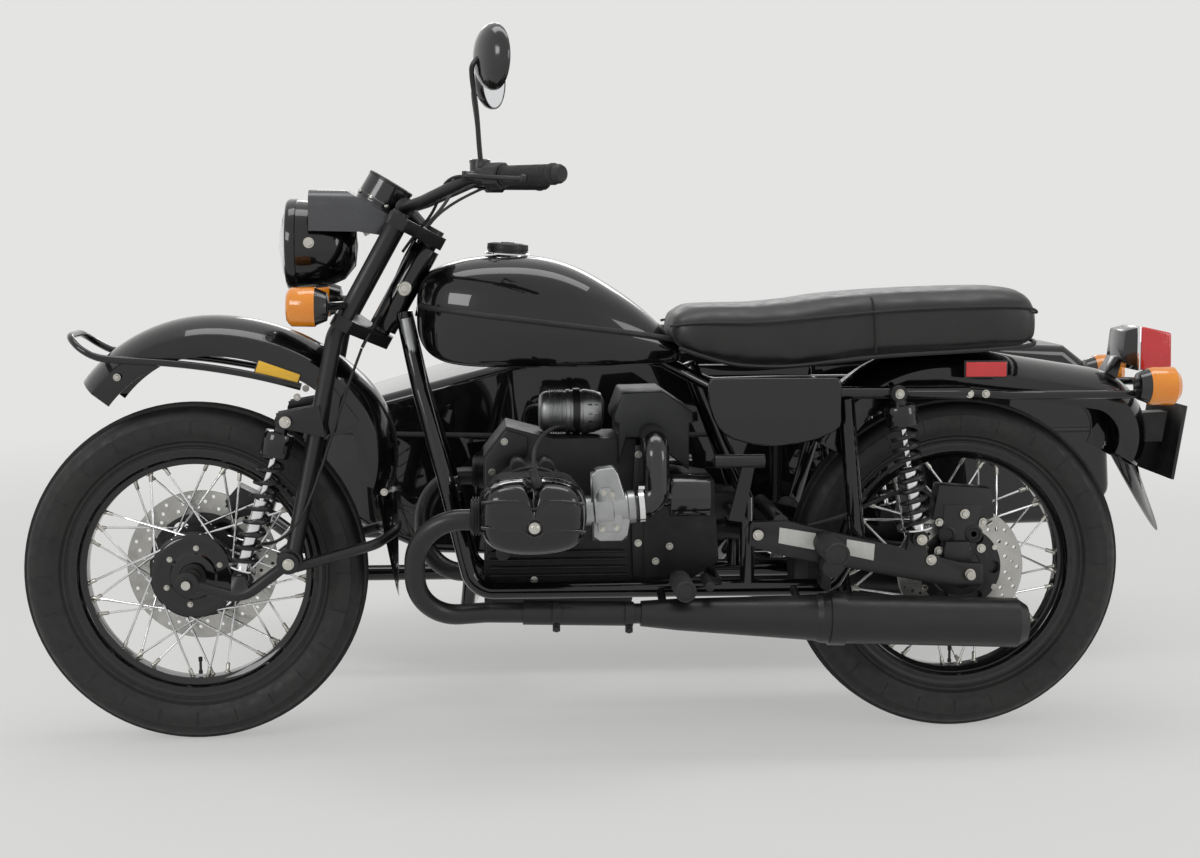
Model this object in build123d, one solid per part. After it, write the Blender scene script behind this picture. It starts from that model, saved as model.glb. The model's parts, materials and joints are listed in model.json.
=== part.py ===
"""A sidecar motorcycle: leading-link fork, flat twin, and a sidecar on the rider's right.

Millimetres. While it is modelled, the origin is the front axle's middle: X runs rearwards, Y to the
rider's right and Z up. Every piece is moved by TO_FLOOR when it is written, so that the floor is z = 0.
"""
import os
from functools import cache
from math import atan2, cos, degrees, radians, sin, tan

from build123d import *

# Driving sizes of the outfit
WHEELBASE = 1488
TRACK = 1150                    # bike's centre plane to the sidecar wheel
SIDECAR_LEAD = 100              # sidecar wheel ahead of the rear axle
TYRE_DIAMETER = 660
TYRE_WIDTH = 108
RAKE = 29                       # steering axis, degrees from upright
SEAT_GAP = 0.3                  # between pieces that rest on each other
RUNNING_GAP = 0.05              # radial, axle in hub

# Where the outfit's footprint has its middle, measured from the front axle
FOOTPRINT_MIDDLE = (825.0, 413.5)
TO_FLOOR = (-FOOTPRINT_MIDDLE[0], -FOOTPRINT_MIDDLE[1], TYRE_DIAMETER / 2)

# Wheels
TYRE_R = TYRE_DIAMETER / 2
BEAD_R = 228.6
FLANGE_R = 244
RIM_HALF = 33
FLANGE = 5
WELL_R = 213
RIM_SKIN = 6
SPOKES_A_SIDE = 18
SPOKE_R = 2.2
SPOKE_CROSS = 45                # turn between a spoke's hub end and rim end, degrees
HUB_FLANGE_R = 84
HUB_FLANGE_Y = 37
HUB_FLANGE = 6
HUB_BARREL_R = 58
HUB_HALF = 70
HUB_END_R = 40
AXLE_R = 8.5
DISC_SEAT_Y = 60
DISC = 5

# Wheel centres
FRONT = (0, 0, 0)
REAR_X = WHEELBASE
REAR = (REAR_X, 0, 0)
SIDE = (WHEELBASE - SIDECAR_LEAD, TRACK, 0)

# Steering head: a point on the axis, and directions along it and square to it, forwards
HEAD = (407, 548)
UP_AXIS = (sin(radians(RAKE)), cos(radians(RAKE)))
AHEAD = (-cos(radians(RAKE)), sin(radians(RAKE)))
HEAD_HALF = 88
HEAD_R = 27
STEM_R = 17
YOKE_AT = 108                   # yoke's middle from the head's middle, along the axis
YOKE = 24
FORK_OFFSET = 70
LEG_Y = 105
LEG_R = 16
LEG_BEND_Z = 462                # where the leg turns down from the head's angle
PIVOT = (189, 37)               # leading link's pivot
LINK_Y = 134
LINK_R = 11
LINK_LOW = (100, -30)
EYE_R = 13
EYE_HALF = 11

# Frame
TUBE_R = 16
CRADLE_Y = 100
CRADLE_Z = -28
RAIL_Y = 130
RAIL_Z = 352
RAIL_R = 12
HOOP_R = 8
SWING_PIVOT = (1075, 83)
ARM_Y = 130
ARM_HALF = 11

# Sidecar
BODY_IN_Y = 440                 # clear of the right cylinder's cover
BODY_OUT_Y = TRACK - 110        # clear of the sidecar's tyre and arm
BODY_SKIN = 10
FLOOR_Z = -62
CHASSIS_Z = -98
CHASSIS_R = 17
CHASSIS_IN_Y = BODY_IN_Y + 15
CHASSIS_OUT_Y = BODY_OUT_Y - 40
LID_GAP = 5
HINGE = (1327, 427)             # trunk lid's hinge pin
HINGE_PIN_R = 4
HINGE_SPREAD = 150              # from the lid's middle to each hinge


def at_head(along, ahead=0.0):
    """X and Z of a point by its distance along the steering axis and its distance ahead of it."""
    return (HEAD[0] + along * UP_AXIS[0] + ahead * AHEAD[0],
            HEAD[1] + along * UP_AXIS[1] + ahead * AHEAD[1])


def rod(start, end, radius):
    """A round bar from one point to another."""
    run = Vector(*end) - Vector(*start)
    return Solid.make_cylinder(radius, run.length, Plane(origin=start, z_dir=run))


def cross_rod(x, z, y_from, y_to, radius):
    """A round bar along Y."""
    return rod((x, y_from, z), (x, y_to, z), radius)


def pipe(points, radius, bend):
    """A bent round bar through the corners, with one bend radius or a list of them."""
    path = FilletPolyline(*points, radius=bend)
    return sweep(Plane(origin=path @ 0, z_dir=path % 0) * Circle(radius), path=path)


def slab(outline, y_from, y_to):
    """An outline of (x, z) corners, thick along Y."""
    face = make_face(Polyline(*[(x, y_from, z) for x, z in outline], close=True)).face()
    return Solid.extrude(face, Vector(0, y_to - y_from, 0))


def turned_y(profile):
    """A closed profile of (radius, y) corners turned about the Y axis."""
    return revolve(make_face(Polyline(*profile, close=True)), Axis.Y)


def turned(profile, start, towards):
    """A closed profile of (radius, along) corners turned about the line from start towards a point."""
    run = Vector(*towards) - Vector(*start)
    body = revolve(make_face(Polyline(*[(r, 0, a) for r, a in profile], close=True)), Axis.Z)
    return Plane(origin=start, z_dir=run).location * body


def both_sides(shape):
    """A left-hand piece and its mirror image on the right."""
    return shape + mirror(shape, about=Plane.XZ)


def right_side(shape):
    """A left-hand piece moved to the right by mirroring."""
    return mirror(shape, about=Plane.XZ)


def biggest(shape, count=1):
    """The largest solids of a shape, without the slivers a cut leaves."""
    return Part() + shape.solids().sort_by(SortBy.VOLUME)[-count:]


def keep(name, shape):
    """Write one piece, moved so that the floor is at z = 0 under the outfit's middle."""
    export_step(Pos(*TO_FLOOR) * shape, f"parts/{name}.step")


# Wheels

def tyre(centre):
    """A road tyre: beads inside the rim's flanges, round side walls and a crowned tread."""
    half = TYRE_WIDTH / 2
    shoulder = (TYRE_R - 14, half - 7)
    wall = (FLANGE_R + 40, half)
    bead = (FLANGE_R + 2, RIM_HALF - FLANGE)
    foot = (BEAD_R, RIM_HALF - FLANGE)
    flip = [(r, -y) for r, y in (foot, bead, wall, shoulder)]
    outline = [
        Line(foot, bead),
        ThreePointArc(bead, wall, shoulder),
        ThreePointArc(shoulder, (TYRE_R, 0), flip[3]),
        ThreePointArc(flip[3], flip[2], flip[1]),
        Line(flip[1], flip[0]),
        Line(flip[0], foot),
    ]
    return Pos(*centre) * revolve(make_face(outline), Axis.Y)


def rim():
    """A drop-centre rim."""
    inner = RIM_HALF - FLANGE
    half = [(BEAD_R, inner), (FLANGE_R, inner), (FLANGE_R, RIM_HALF), (BEAD_R - RIM_SKIN, RIM_HALF),
            (BEAD_R - RIM_SKIN, 20), (WELL_R - RIM_SKIN, 15)]
    well = [(BEAD_R, 20), (WELL_R, 14)]
    outline = half + [(r, -y) for r, y in reversed(half)]
    outline += [(r, -y) for r, y in well] + list(reversed(well))
    return turned_y(outline)


def hub(cover_side):
    """A full-width hub with two spoke flanges, a drum cover on one side and a bore for the axle."""
    inner = HUB_FLANGE_Y - HUB_FLANGE / 2
    outer = HUB_FLANGE_Y + HUB_FLANGE / 2
    bore = AXLE_R + RUNNING_GAP
    cover = [(HUB_FLANGE_R - 6, outer), (HUB_FLANGE_R - 6, outer + 8), (HUB_FLANGE_R - 18, outer + 18),
             (HUB_END_R, outer + 18), (HUB_END_R, HUB_HALF), (bore, HUB_HALF)]
    plain = [(HUB_END_R, outer), (HUB_END_R, HUB_HALF), (bore, HUB_HALF)]
    flange = [(HUB_BARREL_R, inner), (HUB_FLANGE_R, inner), (HUB_FLANGE_R, outer)]
    left, right = (cover, plain) if cover_side < 0 else (plain, cover)
    outline = flange + right + [(r, -y) for r, y in reversed(flange + left)]
    return turned_y(outline)


def spokes():
    """Crossed wire spokes: each side's lean one way and the other by turns."""
    bars = []
    step = 360 / SPOKES_A_SIDE
    for side in (-1, 1):
        for n in range(SPOKES_A_SIDE):
            lean = 1 if n % 2 else -1
            hub_turn = radians(n * step + (step if side > 0 else 0))
            rim_turn = hub_turn + radians(SPOKE_CROSS) * lean
            start_y = side * (HUB_FLANGE_Y + lean)
            start = (HUB_FLANGE_R - 4, start_y)
            end = (WELL_R - RIM_SKIN + 1, side * 7)
            a = Vector(start[0] * cos(hub_turn), start[1], start[0] * sin(hub_turn))
            b = Vector(end[0] * cos(rim_turn), end[1], end[0] * sin(rim_turn))
            section = Plane(origin=a, z_dir=b - a) * RegularPolygon(SPOKE_R, 4)
            bars.append(extrude(section, amount=(b - a).length))
    return bars


def wire_wheel(centre, cover_side):
    """Rim, hub and laced spokes in one."""
    return Pos(*centre) * (Part() + [rim(), hub(cover_side)] + spokes())


def brake_disc(centre, side, radius):
    """A brake disc against the end of the hub, with windows between its arms."""
    seat = HUB_END_R + SEAT_GAP
    plate = turned_y([(seat, side * DISC_SEAT_Y), (radius, side * DISC_SEAT_Y),
                      (radius, side * (DISC_SEAT_Y + DISC)), (seat, side * (DISC_SEAT_Y + DISC))])
    mid = (HUB_END_R + radius) / 2 - 12
    for turn in range(0, 360, 60):
        window = cross_rod(mid, 0, -HUB_HALF - 30, HUB_HALF + 30, 16)
        plate -= Rotation(0, turn, 0) * window
    return Pos(*centre) * plate


def axle(centre, left, right):
    """An axle with a spacer each side of the hub and a nut at each end."""
    spacer = HUB_HALF + 5
    shaft = cross_rod(0, 0, left - 34, right + 34, AXLE_R)
    collars = cross_rod(0, 0, left, -spacer, 15) + cross_rod(0, 0, spacer, right, 15)
    return Pos(*centre) * (shaft + collars)


def coil_over(bottom, top, y, coil_r, can_r, turns):
    """A coil-over damper between two cross bolts: eyes, rod, round coils and the upper can."""
    run = Vector(top[0] - bottom[0], 0, top[1] - bottom[1]).length
    body_r = coil_r * 0.62
    first, last = EYE_R + 15, run * 0.76
    pitch = (last - first) / turns
    neck = EYE_HALF - 2
    profile = [(0, 0), (neck, 0), (neck, EYE_R + 5), (coil_r, EYE_R + 5), (coil_r, first)]
    for n in range(turns):
        low = first + n * pitch
        profile += [(body_r, low + pitch * 0.12), (body_r, low + pitch * 0.45),
                    (coil_r, low + pitch * 0.6), (coil_r, low + pitch * 0.9)]
    profile += [(can_r, last), (can_r, run - EYE_R - 12), (can_r - 6, run - EYE_R - 6),
                (neck, run - EYE_R - 6), (neck, run), (0, run)]
    body = turned(profile, (bottom[0], y, bottom[1]), (top[0], y, top[1]))
    for x, z in (bottom, top):
        body += cross_rod(x, z, y - EYE_HALF, y + EYE_HALF, EYE_R)
        body -= cross_rod(x, z, y - EYE_HALF - 1, y + EYE_HALF + 1, 5 + SEAT_GAP)
    return body


# Fork, front end and controls

def yoke(along, depth):
    """A fork yoke: a plate square to the steering axis, round at the stem and at both legs."""
    x, z = at_head(along)
    plane = Plane(origin=(x, 0, z), x_dir=(AHEAD[0], 0, AHEAD[1]), z_dir=(UP_AXIS[0], 0, UP_AXIS[1]))
    corners = [(-26, -24), (FORK_OFFSET - 18, -LEG_Y - 22), (FORK_OFFSET + 18, -LEG_Y - 22),
               (FORK_OFFSET + 22, 0), (FORK_OFFSET + 18, LEG_Y + 22), (FORK_OFFSET - 18, LEG_Y + 22),
               (-26, 24)]
    face = make_face(Polyline(*corners, close=True))
    face = fillet(face.vertices(), 8)
    return extrude(plane * face, amount=depth / 2, both=True)


def leg_x(z):
    """X of a leg's middle line at a height above its bend."""
    x0, z0 = at_head(0, FORK_OFFSET)
    return x0 + (z - z0) * tan(radians(RAKE))


@cache
def fork():
    """Bent legs, yokes, stem, pivot plates and the hoop that ties the legs behind the wheel."""
    top = at_head(YOKE_AT + YOKE / 2 + 6, FORK_OFFSET)
    bend = (leg_x(LEG_BEND_Z), LEG_BEND_Z)
    body = Part()
    for side in (-1, 1):
        y = side * LEG_Y
        body += pipe([(top[0], y, top[1]), (bend[0], y, bend[1]), (PIVOT[0] + 5, y, PIVOT[1] + 4)],
                     LEG_R, 60)
        body += cross_rod(*PIVOT, side * (LEG_Y - 15), side * (LINK_Y - LINK_R - 1 - SEAT_GAP), 24)
        body += cross_rod(*PIVOT, side * LEG_Y, side * (LINK_Y + 14), 8)
        shock = FRONT_SHOCK_TOP
        web = [(shock[0] - 12, shock[1] - 10), (shock[0] - 12, shock[1] + 16),
               (250, shock[1] + 30), (262, shock[1] - 30)]
        body += slab(web, side * (LEG_Y - 8), side * (LEG_Y - 13))
        body += slab(web, side * (FRONT_SHOCK_Y + EYE_HALF + SEAT_GAP),
                     side * (FRONT_SHOCK_Y + EYE_HALF + 6))
        body += cross_rod(*shock, side * (LEG_Y - 13), side * (FRONT_SHOCK_Y + EYE_HALF + 6), 5)
    body += pipe([(PIVOT[0] + 10, -LEG_Y, PIVOT[1] - 14), (352, -LEG_Y, 66), (384, -45, 80),
                  (384, 45, 80), (352, LEG_Y, 66), (PIVOT[0] + 10, LEG_Y, PIVOT[1] - 14)],
                 10, 24)
    body += yoke(-YOKE_AT, YOKE) + yoke(YOKE_AT, YOKE)
    low, high = at_head(-YOKE_AT - 10), at_head(YOKE_AT + 20)
    body += rod((low[0], 0, low[1]), (high[0], 0, high[1]), STEM_R)
    return body


FRONT_SHOCK_TOP = (183, 304)
FRONT_SHOCK_LOW = (96, 6)
FRONT_SHOCK_Y = 116


def leading_links():
    """The swinging link each side: pivot eye, curved arm, shock lug and axle eye."""
    arms = Part()
    for side in (-1, 1):
        y = side * LINK_Y
        arm = pipe([(PIVOT[0], y, PIVOT[1]), (LINK_LOW[0], y, LINK_LOW[1]), (0, y, 0)], LINK_R, 60)
        for (x, z), r in ((PIVOT, 20), ((0, 0), 22)):
            arm += cross_rod(x, z, side * (LINK_Y - LINK_R - 1), side * (LINK_Y + LINK_R + 1), r)
        lug = [(80, -34), (84, 14), (108, 14), (118, -24)]
        arm += slab(lug, side * (FRONT_SHOCK_Y + EYE_HALF + SEAT_GAP), side * (LINK_Y + LINK_R - 2))
        arm += cross_rod(*FRONT_SHOCK_LOW, side * (FRONT_SHOCK_Y - EYE_HALF - 4),
                         side * (LINK_Y + LINK_R - 4), 5)
        arm -= cross_rod(*PIVOT, side * (LEG_Y - 20), side * (LINK_Y + 30), 8 + SEAT_GAP)
        arm -= cross_rod(0, 0, side * 80, side * (LINK_Y + 30), AXLE_R + SEAT_GAP)
        arms += arm
    return arms


LAMP_X = 178
LAMP_Z = 630
LAMP_R = 88


@cache
def headlamp():
    """Round headlamp: lens, rim ring, deep bucket and its two side ears on the fork."""
    lamp = turned([(0, 0), (LAMP_R - 14, 6), (LAMP_R - 8, 12), (LAMP_R, 14), (LAMP_R, 28),
                   (LAMP_R - 4, 30), (LAMP_R - 6, 80), (LAMP_R - 24, 118), (LAMP_R - 50, 138),
                   (0, 142)], (LAMP_X, 0, LAMP_Z), (LAMP_X + 100, 0, LAMP_Z))
    for side in (-1, 1):
        lamp += cross_rod(LAMP_X + 56, LAMP_Z + 6, side * (LAMP_R - 12), side * (LAMP_R + 18), 9)
        top = leg_x(LAMP_Z)
        ear = [(LAMP_X + 44, LAMP_Z - 12), (LAMP_X + 44, LAMP_Z + 22), (top - 16, LAMP_Z + 34),
               (top - 26, LAMP_Z - 24)]
        lamp += slab(ear, side * (LAMP_R + 6), side * (LAMP_R + 11))
    return lamp - fork()


DIAL_TURN = 31
DIAL_R = 45
DIAL_DEPTH = 48
DIAL_FOOT = (359, 706)


@cache
def cowl():
    """The cover over the lamp's back and the yoke, with the round speedometer on it."""
    side = [(233, 658), (233, 734), (301, 734), (396, 679), (378, 648), (327, 656)]
    shell = slab(side, -LAMP_R - 4, LAMP_R + 4)
    shell = fillet(shell.edges().filter_by(GeomType.LINE).filter_by(Axis.X).sort_by(Axis.Z)[-2:], 30)
    inside = slab([(232, 640), (232, 730), (300, 730), (391, 678), (374, 640)],
                  -LAMP_R, LAMP_R)
    inside = fillet(inside.edges().filter_by(GeomType.LINE).filter_by(Axis.X).sort_by(Axis.Z)[-2:], 26)
    foot = Vector(DIAL_FOOT[0], 0, DIAL_FOOT[1])
    up = Vector(sin(radians(DIAL_TURN)), 0, cos(radians(DIAL_TURN)))
    dial = rod(foot - up * 10, foot + up * DIAL_DEPTH, DIAL_R)
    dial = chamfer(dial.edges().sort_by(Axis.Z)[-1], 4)
    return shell - inside + (dial - inside) - fork() - headlamp() - handlebar()


BAR_R = 11
BAR_LOW = (412, 700)
GRIP_IN = (590, -296, 756)
GRIP_OUT = (680, -385, 757)


def bar_path():
    """Corners of the handlebar from its left end to its middle."""
    return [GRIP_OUT, GRIP_IN, (536, -250, 752), (448, -140, 712), (BAR_LOW[0], -85, BAR_LOW[1])]


@cache
def handlebar():
    """The bent bar and its two clamps on the upper yoke."""
    left = bar_path()
    right = [(x, -y, z) for x, y, z in reversed(left)]
    bar = pipe(left + right, BAR_R, [30, 40, 60, 40, 40, 60, 40, 30])
    for y in (-42, 42):
        seat = at_head(YOKE_AT + YOKE / 2 + SEAT_GAP, 30)
        post = rod((seat[0], y, seat[1]), (BAR_LOW[0], y, BAR_LOW[1]), 12)
        bar += post + cross_rod(*BAR_LOW, y - 14, y + 14, 19)
    return bar - fork()


@cache
def hand_controls():
    """Grip, switch box, lever and its perch on each side of the bar."""
    inner, outer = Vector(*GRIP_IN), Vector(*GRIP_OUT)
    run = (outer - inner).normalized()
    gap = BAR_R + SEAT_GAP
    grip = rod(outer - run * 118, outer + run * 6, 17)
    grip += rod(outer + run * 6, outer + run * 20, 14)
    box_start = outer - run * 156
    box = rod(box_start, outer - run * 118, 24)
    perch = rod(box_start - run * 20, box_start, 18)
    lever_pivot = box_start - run * 12 + Vector(-34, 0, 0)
    lever_end = outer + Vector(-52, -2, -8)
    lever = rod(lever_pivot, lever_end, 6) + rod(box_start - run * 12, lever_pivot, 9)
    lever += Pos(lever_end) * Sphere(8)
    left = grip + box + perch + lever
    left -= rod(inner - run * 200, outer - run * 0, gap)
    reservoir = rod(box_start + Vector(-16, 34, 10), box_start + Vector(-16, 34, 44), 22)
    right = right_side(left) + right_side(reservoir)
    return left + right - handlebar()


MIRROR_FOOT = (556, -262, 772)
MIRROR_HEAD = (573, -300, 962)
MIRROR_R = 58
MIRROR_TURN = 25


def mirrors():
    """Two stalks from the bar, each with an oval dished head that faces rearwards."""
    stalk = pipe([(MIRROR_FOOT[0], MIRROR_FOOT[1], 745), (MIRROR_FOOT[0] - 6, MIRROR_FOOT[1] - 6, 860),
                  (MIRROR_HEAD[0] - 34, MIRROR_HEAD[1], 950)], 5.5, 60)
    stalk += rod((MIRROR_FOOT[0], MIRROR_FOOT[1], 742), (MIRROR_FOOT[0], MIRROR_FOOT[1], 786), 10)
    look = Vector(cos(radians(MIRROR_TURN)), sin(radians(MIRROR_TURN)), 0)
    back = Vector(*MIRROR_HEAD) - look * 22
    r = MIRROR_R
    head = turned([(0, 0), (r * 0.5, 3), (r * 0.85, 13), (r, 26), (r, 34), (0, 34)], back, back + look)
    head += rod((MIRROR_HEAD[0] - 34, MIRROR_HEAD[1], 950), Vector(*MIRROR_HEAD), 9)
    return biggest(both_sides(stalk + head - rod_along_bar()) - hand_controls(), 2)


def rod_along_bar():
    """The left half of the bar, with its clearance, to be taken out of what sits round it."""
    left = bar_path()
    return pipe(left, BAR_R + SEAT_GAP, [30, 40, 60])


# Front mudguard: its crown line as three arcs
GUARD_TIP = (-205, 374)
GUARD_VIA = (-99, 463)
GUARD_TOP = (52, 497)
GUARD_BACK = (323, 385)
GUARD_END = (379, 158)
GUARD_HALF = 82
GUARD_DEPTH = 74
GUARD_SKIN = 4


def guard_section(half, depth, skin):
    """A mudguard's cross-section, with its crown at the origin and its skirts downwards."""
    outline = []
    for inset in (0, skin):
        w, top, low = half - inset, -inset, -depth
        knee = top - half * 0.42
        outline.append([Line((-w, low), (-w, knee)), ThreePointArc((-w, knee), (0, top), (w, knee)),
                        Line((w, knee), (w, low))])
    outer, inner = outline
    feet = [Line((-half, -depth), (-half + skin, -depth)), Line((half - skin, -depth), (half, -depth))]
    return make_face(outer + inner + feet)


def guard(path, half, depth, skin):
    """A mudguard swept along its crown line."""
    start = Plane(origin=path @ 0, x_dir=(0, 1, 0), z_dir=path % 0)
    return sweep(start * guard_section(half, depth, skin), path=path)


def xz(point, y=0):
    """A 3-D point from an (x, z) pair."""
    return (point[0], y, point[1])


@cache
def front_mudguard():
    """Swept guard, stays to the fork and the rubber flap at its back."""
    first = ThreePointArc(xz(GUARD_TIP), xz(GUARD_VIA), xz(GUARD_TOP))
    second = TangentArc(xz(GUARD_TOP), xz(GUARD_BACK), tangent=first % 1)
    third = TangentArc(xz(GUARD_BACK), xz(GUARD_END), tangent=second % 1)
    body = guard(Curve() + [first, second, third], GUARD_HALF, GUARD_DEPTH, GUARD_SKIN)
    lip = [(352, 156), (420, 156), (401, -60), (392, -74)]
    flap = slab(lip, -GUARD_HALF - 4, GUARD_HALF + 4)
    flap &= extrude(Plane.XY.offset(-90) * Pos(GUARD_END[0] + 10, 0) *
                    Rot(0, 0, -90) * guard_section(GUARD_HALF, 62, 5), amount=250)
    strap = [(218, 262), (250, 372), (268, 372), (322, 300), (312, 282), (232, 258)]
    for side in (-1, 1):
        body += slab(strap, side * (GUARD_HALF - 1), side * (LEG_Y - LEG_R + 4))
    return body + flap - fork()


def guard_hoop():
    """The bright tube along the front guard's lower edge and round its nose."""
    y = GUARD_HALF + 7 + SEAT_GAP
    left = [(212, -y, 366), (95, -y, 394), (-60, -y, 415), (-165, -y, 418), (-222, -52, 458)]
    right = [(a, -b, c) for a, b, c in reversed(left)]
    return pipe(left + right, 7, [60, 80, 30, 24, 24, 30, 80, 60])


def front_signals():
    """Amber turn signals on short stems from the legs."""
    z = 520
    pod = turned([(0, 0), (26, 0), (35, 8), (36, 48), (26, 72), (0, 78)], (200, -172, z), (300, -172, z))
    stem = rod((262, -172, z), (leg_x(z) - 4, -LEG_Y, z), 8)
    return both_sides(pod + stem) - fork()


def front_caliper():
    """Brake caliper astride the front disc, on a bracket from the right-hand link."""
    side = [(62, 92), (48, 128), (74, 158), (112, 138), (118, 104)]
    body = slab(side, DISC_SEAT_Y - 12, DISC_SEAT_Y + DISC + 34)
    body -= cross_rod(0, 0, DISC_SEAT_Y - 4, DISC_SEAT_Y + DISC + 4, FRONT_DISC_R + 4)
    arm = slab([(-14, 14), (40, 112), (100, 104), (22, -14)], 103, 111)
    arm += slab([(58, 98), (58, 132), (104, 132), (104, 100)], DISC_SEAT_Y + DISC + 30, 111)
    return body + arm - cross_rod(0, 0, 0, 200, 15 + SEAT_GAP) - front_shocks_only()


FRONT_DISC_R = 148
REAR_DISC_R = 125


@cache
def front_shocks_only():
    """Both front coil-over dampers."""
    return both_sides(coil_over(FRONT_SHOCK_LOW, FRONT_SHOCK_TOP, -FRONT_SHOCK_Y, 25, 27, 8))


# Frame, engine and what they carry

@cache
def bike_frame():
    """Head, twin down tubes and cradle, backbone, seat tubes and rear rails."""
    low, high = at_head(-HEAD_HALF), at_head(HEAD_HALF)
    body = rod((low[0], 0, low[1]), (high[0], 0, high[1]), HEAD_R)
    for side in (-1, 1):
        down = [(405, side * 16, 500), (436, side * 46, 354), (486, side * CRADLE_Y, 180),
                (536, side * CRADLE_Y, CRADLE_Z), (1225, side * CRADLE_Y, CRADLE_Z),
                (1276, side * CRADLE_Y, 60), (1244, side * RAIL_Y, RAIL_Z - 10)]
        body += pipe(down, TUBE_R, [60, 80, 50, 40, 40])
        body += rod((1062, side * CRADLE_Y, CRADLE_Z), (1062, side * CRADLE_Y, 150), 14)
        body += rod((1062, side * CRADLE_Y, 140), (960, side * 34, 395), 14)
        body += pipe([(905, side * 16, 405), (1010, side * 80, 352), (1200, side * RAIL_Y, RAIL_Z),
                      (REAR_X - 8, side * (RAIL_Y + 8), RAIL_Z)], RAIL_R, [60, 60])
        body += cross_rod(*SWING_PIVOT, side * (CRADLE_Y - 24), side * (ARM_Y - ARM_HALF - SEAT_GAP), 20)
        body += cross_rod(*SWING_PIVOT, side * (CRADLE_Y), side * (ARM_Y + ARM_HALF + 6), 9)
        shock = REAR_SHOCK_TOP
        body += cross_rod(*shock, side * (RAIL_Y - 4), side * (REAR_SHOCK_Y + EYE_HALF + 8), 5)
        body += cross_rod(*shock, side * (RAIL_Y - 4), side * (REAR_SHOCK_Y - EYE_HALF - 1), 11)
    body += rod((430, 0, 512), (930, 0, 405), 19)
    for x, z in ((560, CRADLE_Z), (1010, CRADLE_Z)):
        body += cross_rod(x, z, -CRADLE_Y, CRADLE_Y, 12)
    body += cross_rod(1225, RAIL_Z, -RAIL_Y, RAIL_Y, 10)
    return body - rod((low[0], 0, low[1]), (high[0], 0, high[1]), STEM_R + RUNNING_GAP)


@cache
def rear_rail():
    """The thin tube behind the seat that loops round the tail."""
    y = RAIL_Y + 8
    left = [(REAR_X - 8 + 2 * SEAT_GAP, -y, RAIL_Z), (REAR_X + 72, -y, RAIL_Z - 6),
            (REAR_X + 312, -y, RAIL_Z - 6), (REAR_X + 400, -88, RAIL_Z)]
    right = [(a, -b, c) for a, b, c in reversed(left)]
    return pipe(left + right, HOOP_R, [60, 60, 50, 50, 60, 60])


@cache
def fuel_tank():
    """Teardrop tank with its filler cap, hollowed below for the backbone."""
    side = [(432, 500), (440, 562), (466, 589), (533, 612), (647, 613), (707, 602), (784, 560),
            (862, 510), (940, 436), (905, 405), (520, 400), (450, 440)]
    body = slab(side, -146, 146)
    plan = [(425, -62), (470, -118), (560, -146), (700, -146), (860, -104), (945, -58),
            (945, 58), (860, 104), (700, 146), (560, 146), (470, 118), (425, 62)]
    trim = extrude(make_face(Polyline(*[(x, y, 380) for x, y in plan], close=True)), amount=260)
    body &= trim
    tunnel = [(420, 380), (420, 552), (500, 532), (950, 436), (950, 380)]
    body -= slab(tunnel, -24, 24)
    cap = rod((605, 0, 612), (605, 0, 640), 38)
    return body + cap - bike_frame()


@cache
def seat_pad():
    """The long two-step seat."""
    side = [(905, 508), (1001, 512), (1090, 514), (1247, 530), (1457, 543), (1591, 546), (1618, 530),
            (1622, 440), (1440, 430), (1287, 424), (1154, 404), (1040, 402), (950, 440)]
    body = slab(side, -140, 140)
    waist = [(900, -105), (1080, -128), (1300, -140), (1600, -140), (1624, -120),
             (1624, 120), (1600, 140), (1300, 140), (1080, 128), (900, 105)]
    body &= extrude(make_face(Polyline(*[(x, y, 380) for x, y in waist], close=True)), amount=200)
    return body - fuel_tank() - bike_frame()


def side_covers():
    """The curved cover under the seat on each side."""
    side = [(977, 383), (1228, 383), (1230, 292), (1180, 268), (1101, 254), (1001, 284), (978, 330)]
    left = slab(side, -166, -152)
    left = fillet(left.edges().filter_by(Axis.Y), 12)
    for x in (1010, 1200):
        left += cross_rod(x, RAIL_Z - 4, -154, -RAIL_Y, 7)
    return both_sides(left) - bike_frame() - seat_pad()


@cache
def engine_block():
    """Crankcase, sump, gearbox and the front cover in one plain block."""
    case = slab([(556, -60), (556, 230), (600, 286), (690, 262), (850, 262), (850, 200), (1000, 180),
                 (1010, 20), (960, -12), (850, -20), (840, -60)], -CRADLE_Y + 22, CRADLE_Y - 22)
    case += slab([(990, 98), (990, 154), (1050, 150), (1050, 108)], -60, 60)
    cover = cross_rod(600, 170, -60, 60, 10)
    bosses = cross_rod(CYLINDER[0], CYLINDER[1], -CYLINDER_ROOT, CYLINDER_ROOT, 66)
    feet = Part()
    for x in (640, 840):
        feet += cross_rod(x, CRADLE_Z, -CRADLE_Y, CRADLE_Y, 8)
    return case + cover + bosses - bike_frame()


CYLINDER = (645, 148)
CYLINDER_ROOT = 112
HEAD_Y = 236
COVER_Y = 312
COVER_END = 385
FINS = 7


@cache
def cylinders():
    """Finned barrels with their finned heads."""
    pitch = (HEAD_Y - CYLINDER_ROOT - 10) / FINS
    profile = [(0, CYLINDER_ROOT)]
    profile += [(56, CYLINDER_ROOT)]
    for n in range(FINS):
        y = CYLINDER_ROOT + 10 + n * pitch
        profile += [(56, y), (76, y), (76, y + 4), (56, y + 4)]
    profile += [(56, HEAD_Y), (0, HEAD_Y)]
    barrel = turned_y(profile)
    head = Part()
    for n in range(5):
        y = HEAD_Y + n * 15
        fin = slab([(-86, -40), (-86, 48), (-60, 72), (60, 72), (86, 48), (86, -40), (60, -62), (-60, -62)],
                   y, y + 5)
        head += fin
    head += slab([(-68, -44), (-68, 54), (68, 54), (68, -44)], HEAD_Y, COVER_Y)
    one = Pos(CYLINDER[0], 0, CYLINDER[1]) * (barrel + head)
    return both_sides(one)


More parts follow.
